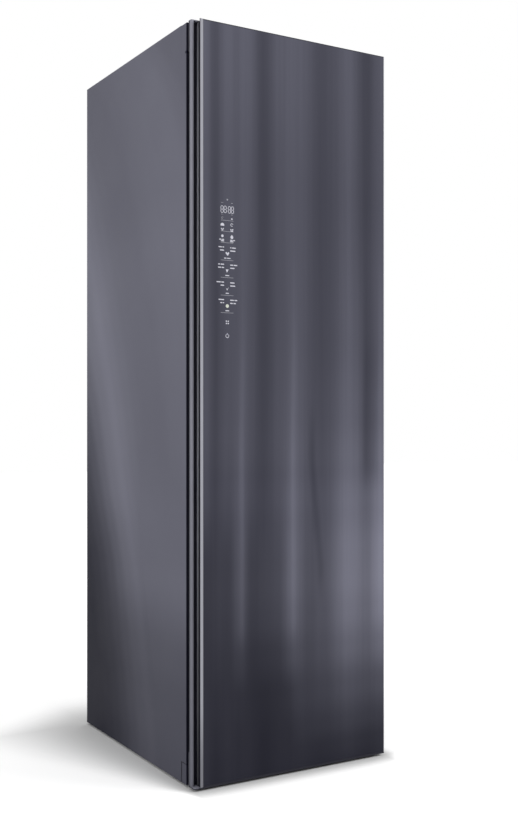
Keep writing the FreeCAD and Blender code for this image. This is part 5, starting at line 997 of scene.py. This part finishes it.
def studio_white():
    """A matt floor that is seen brighter than the light it gives back, and more so away from the object,
    where the lamps reach it less. Its glow drops to nothing at the footprint, which paints a shadow round
    it, widest on the left towards the rear."""
    finish = Finish("studio_floor_white_and_shadow", {
        "Base Color": (*FLOOR_GREY, 1), "Roughness": 0.9, "Specular IOR Level": 0.1,
        "Emission Color": (1, 1, 1, 1),
    })
    seen = seen_directly(finish.tree, finish.add("ShaderNodeLightPath", {}))
    x, y, _ = finish.split()
    reach = finish.spread(y, LEFT_REACH_FRONT, LEFT_REACH_REAR, DOOR_FACE, CABINET_REAR)
    beyond_left = finish.spread(x, LEFT_SPAN, 0, CABINET_LEFT - LEFT_SPAN, CABINET_LEFT)
    sideways = finish.sum(finish.maths("DIVIDE", beyond_left, reach),
                          finish.rise(x, CABINET_RIGHT, CABINET_RIGHT + RIGHT_REACH))
    lengthways = finish.sum(finish.fall(y, DOOR_FACE - FRONT_REACH, DOOR_FACE),
                            finish.rise(y, CABINET_REAR, CABINET_REAR + REAR_REACH))
    # painted shadow: the glow is lower close to the footprint
    close = finish.add("ShaderNodeMapRange", {
        "Value": finish.sum(sideways, lengthways), "To Max": NEAR_GLOW,
    }, interpolation_type="SMOOTHSTEP").outputs["Result"]
    away = finish.add("ShaderNodeVectorMath", {0: finish.place()}, operation="LENGTH").outputs["Value"]
    glow = finish.sum(close, finish.spread(away, 0, FAR_GLOW - NEAR_GLOW, FAR_START, FAR_END))
    finish.link(finish.product(seen, glow), "Emission Strength")
    return finish


floor_data = bpy.data.meshes.new("studio_floor")
floor_corners = [(-1, -1), (1, -1), (1, 1), (-1, 1)]
floor_data.from_pydata([(FLOOR_HALF * x, FLOOR_HALF * y, 0) for x, y in floor_corners], [], [(0, 1, 2, 3)])
floor_data.materials.append(studio_white().material)
floor = bpy.data.objects.new("studio_floor", floor_data)
scene.collection.objects.link(floor)


# ---------------------------------------------------------------- lamps, world and camera

def area_light(name, spot, target, size, power):
    data = bpy.data.lights.new(name, "AREA")
    data.shape = "RECTANGLE"
    data.size, data.size_y = size
    data.energy = power
    lamp = bpy.data.objects.new(name, data)
    scene.collection.objects.link(lamp)
    lamp.location = spot
    lamp.rotation_euler = (Vector(target) - Vector(spot)).to_track_quat("-Z", "Y").to_euler()
    return lamp


key_light = area_light("key_light", (3.7, -3.0, 3.4), target=(0, 0, 0.8), size=(2.4, 2.4), power=180)
key_light.visible_glossy = False
area_light("left_light", (-3.6, -0.6, 2.0), target=(-0.2, 0, 0.8), size=(1.8, 2.6), power=60)
area_light("top_light", (0, 0.4, 4.2), target=(0, 0, 0.5), size=(3.0, 3.0), power=60)

# the world is white where it is seen, and gives less light than that
AMBIENT, REFLECTED = 0.46, 0.62
world = bpy.data.worlds.new("studio_world")
scene.world = world
world.use_nodes = True
background = world.node_tree.nodes["Background"]
background.inputs["Color"].default_value = (1, 1, 1, 1)
path = add_node(world.node_tree, "ShaderNodeLightPath", {})
seen = seen_directly(world.node_tree, path)
given = add_node(world.node_tree, "ShaderNodeMapRange", {
    "Value": path.outputs["Is Glossy Ray"], "To Min": AMBIENT, "To Max": REFLECTED,
})
strength = add_node(world.node_tree, "ShaderNodeMath", {0: seen, 1: given.outputs["Result"]},
                    operation="MAXIMUM")
world.node_tree.links.new(strength.outputs[0], background.inputs["Strength"])

# the photo's view, from its two vanishing points
FOCAL_MM, SENSOR_MM = 47.86, 36
LENS_SHIFT = 0.0067
CAMERA_SPOT = (-1.484, -2.657, 0.897)
CAMERA_TURN = math.radians(-30.8)
camera_data = bpy.data.cameras.new("photo_camera")
camera_data.lens = FOCAL_MM
camera_data.sensor_width = SENSOR_MM
camera_data.shift_y = LENS_SHIFT
camera = bpy.data.objects.new("photo_camera", camera_data)
scene.collection.objects.link(camera)
camera.location = CAMERA_SPOT
camera.rotation_euler = (math.pi / 2, 0, CAMERA_TURN)
scene.camera = camera
scene.view_settings.view_transform = "Standard"
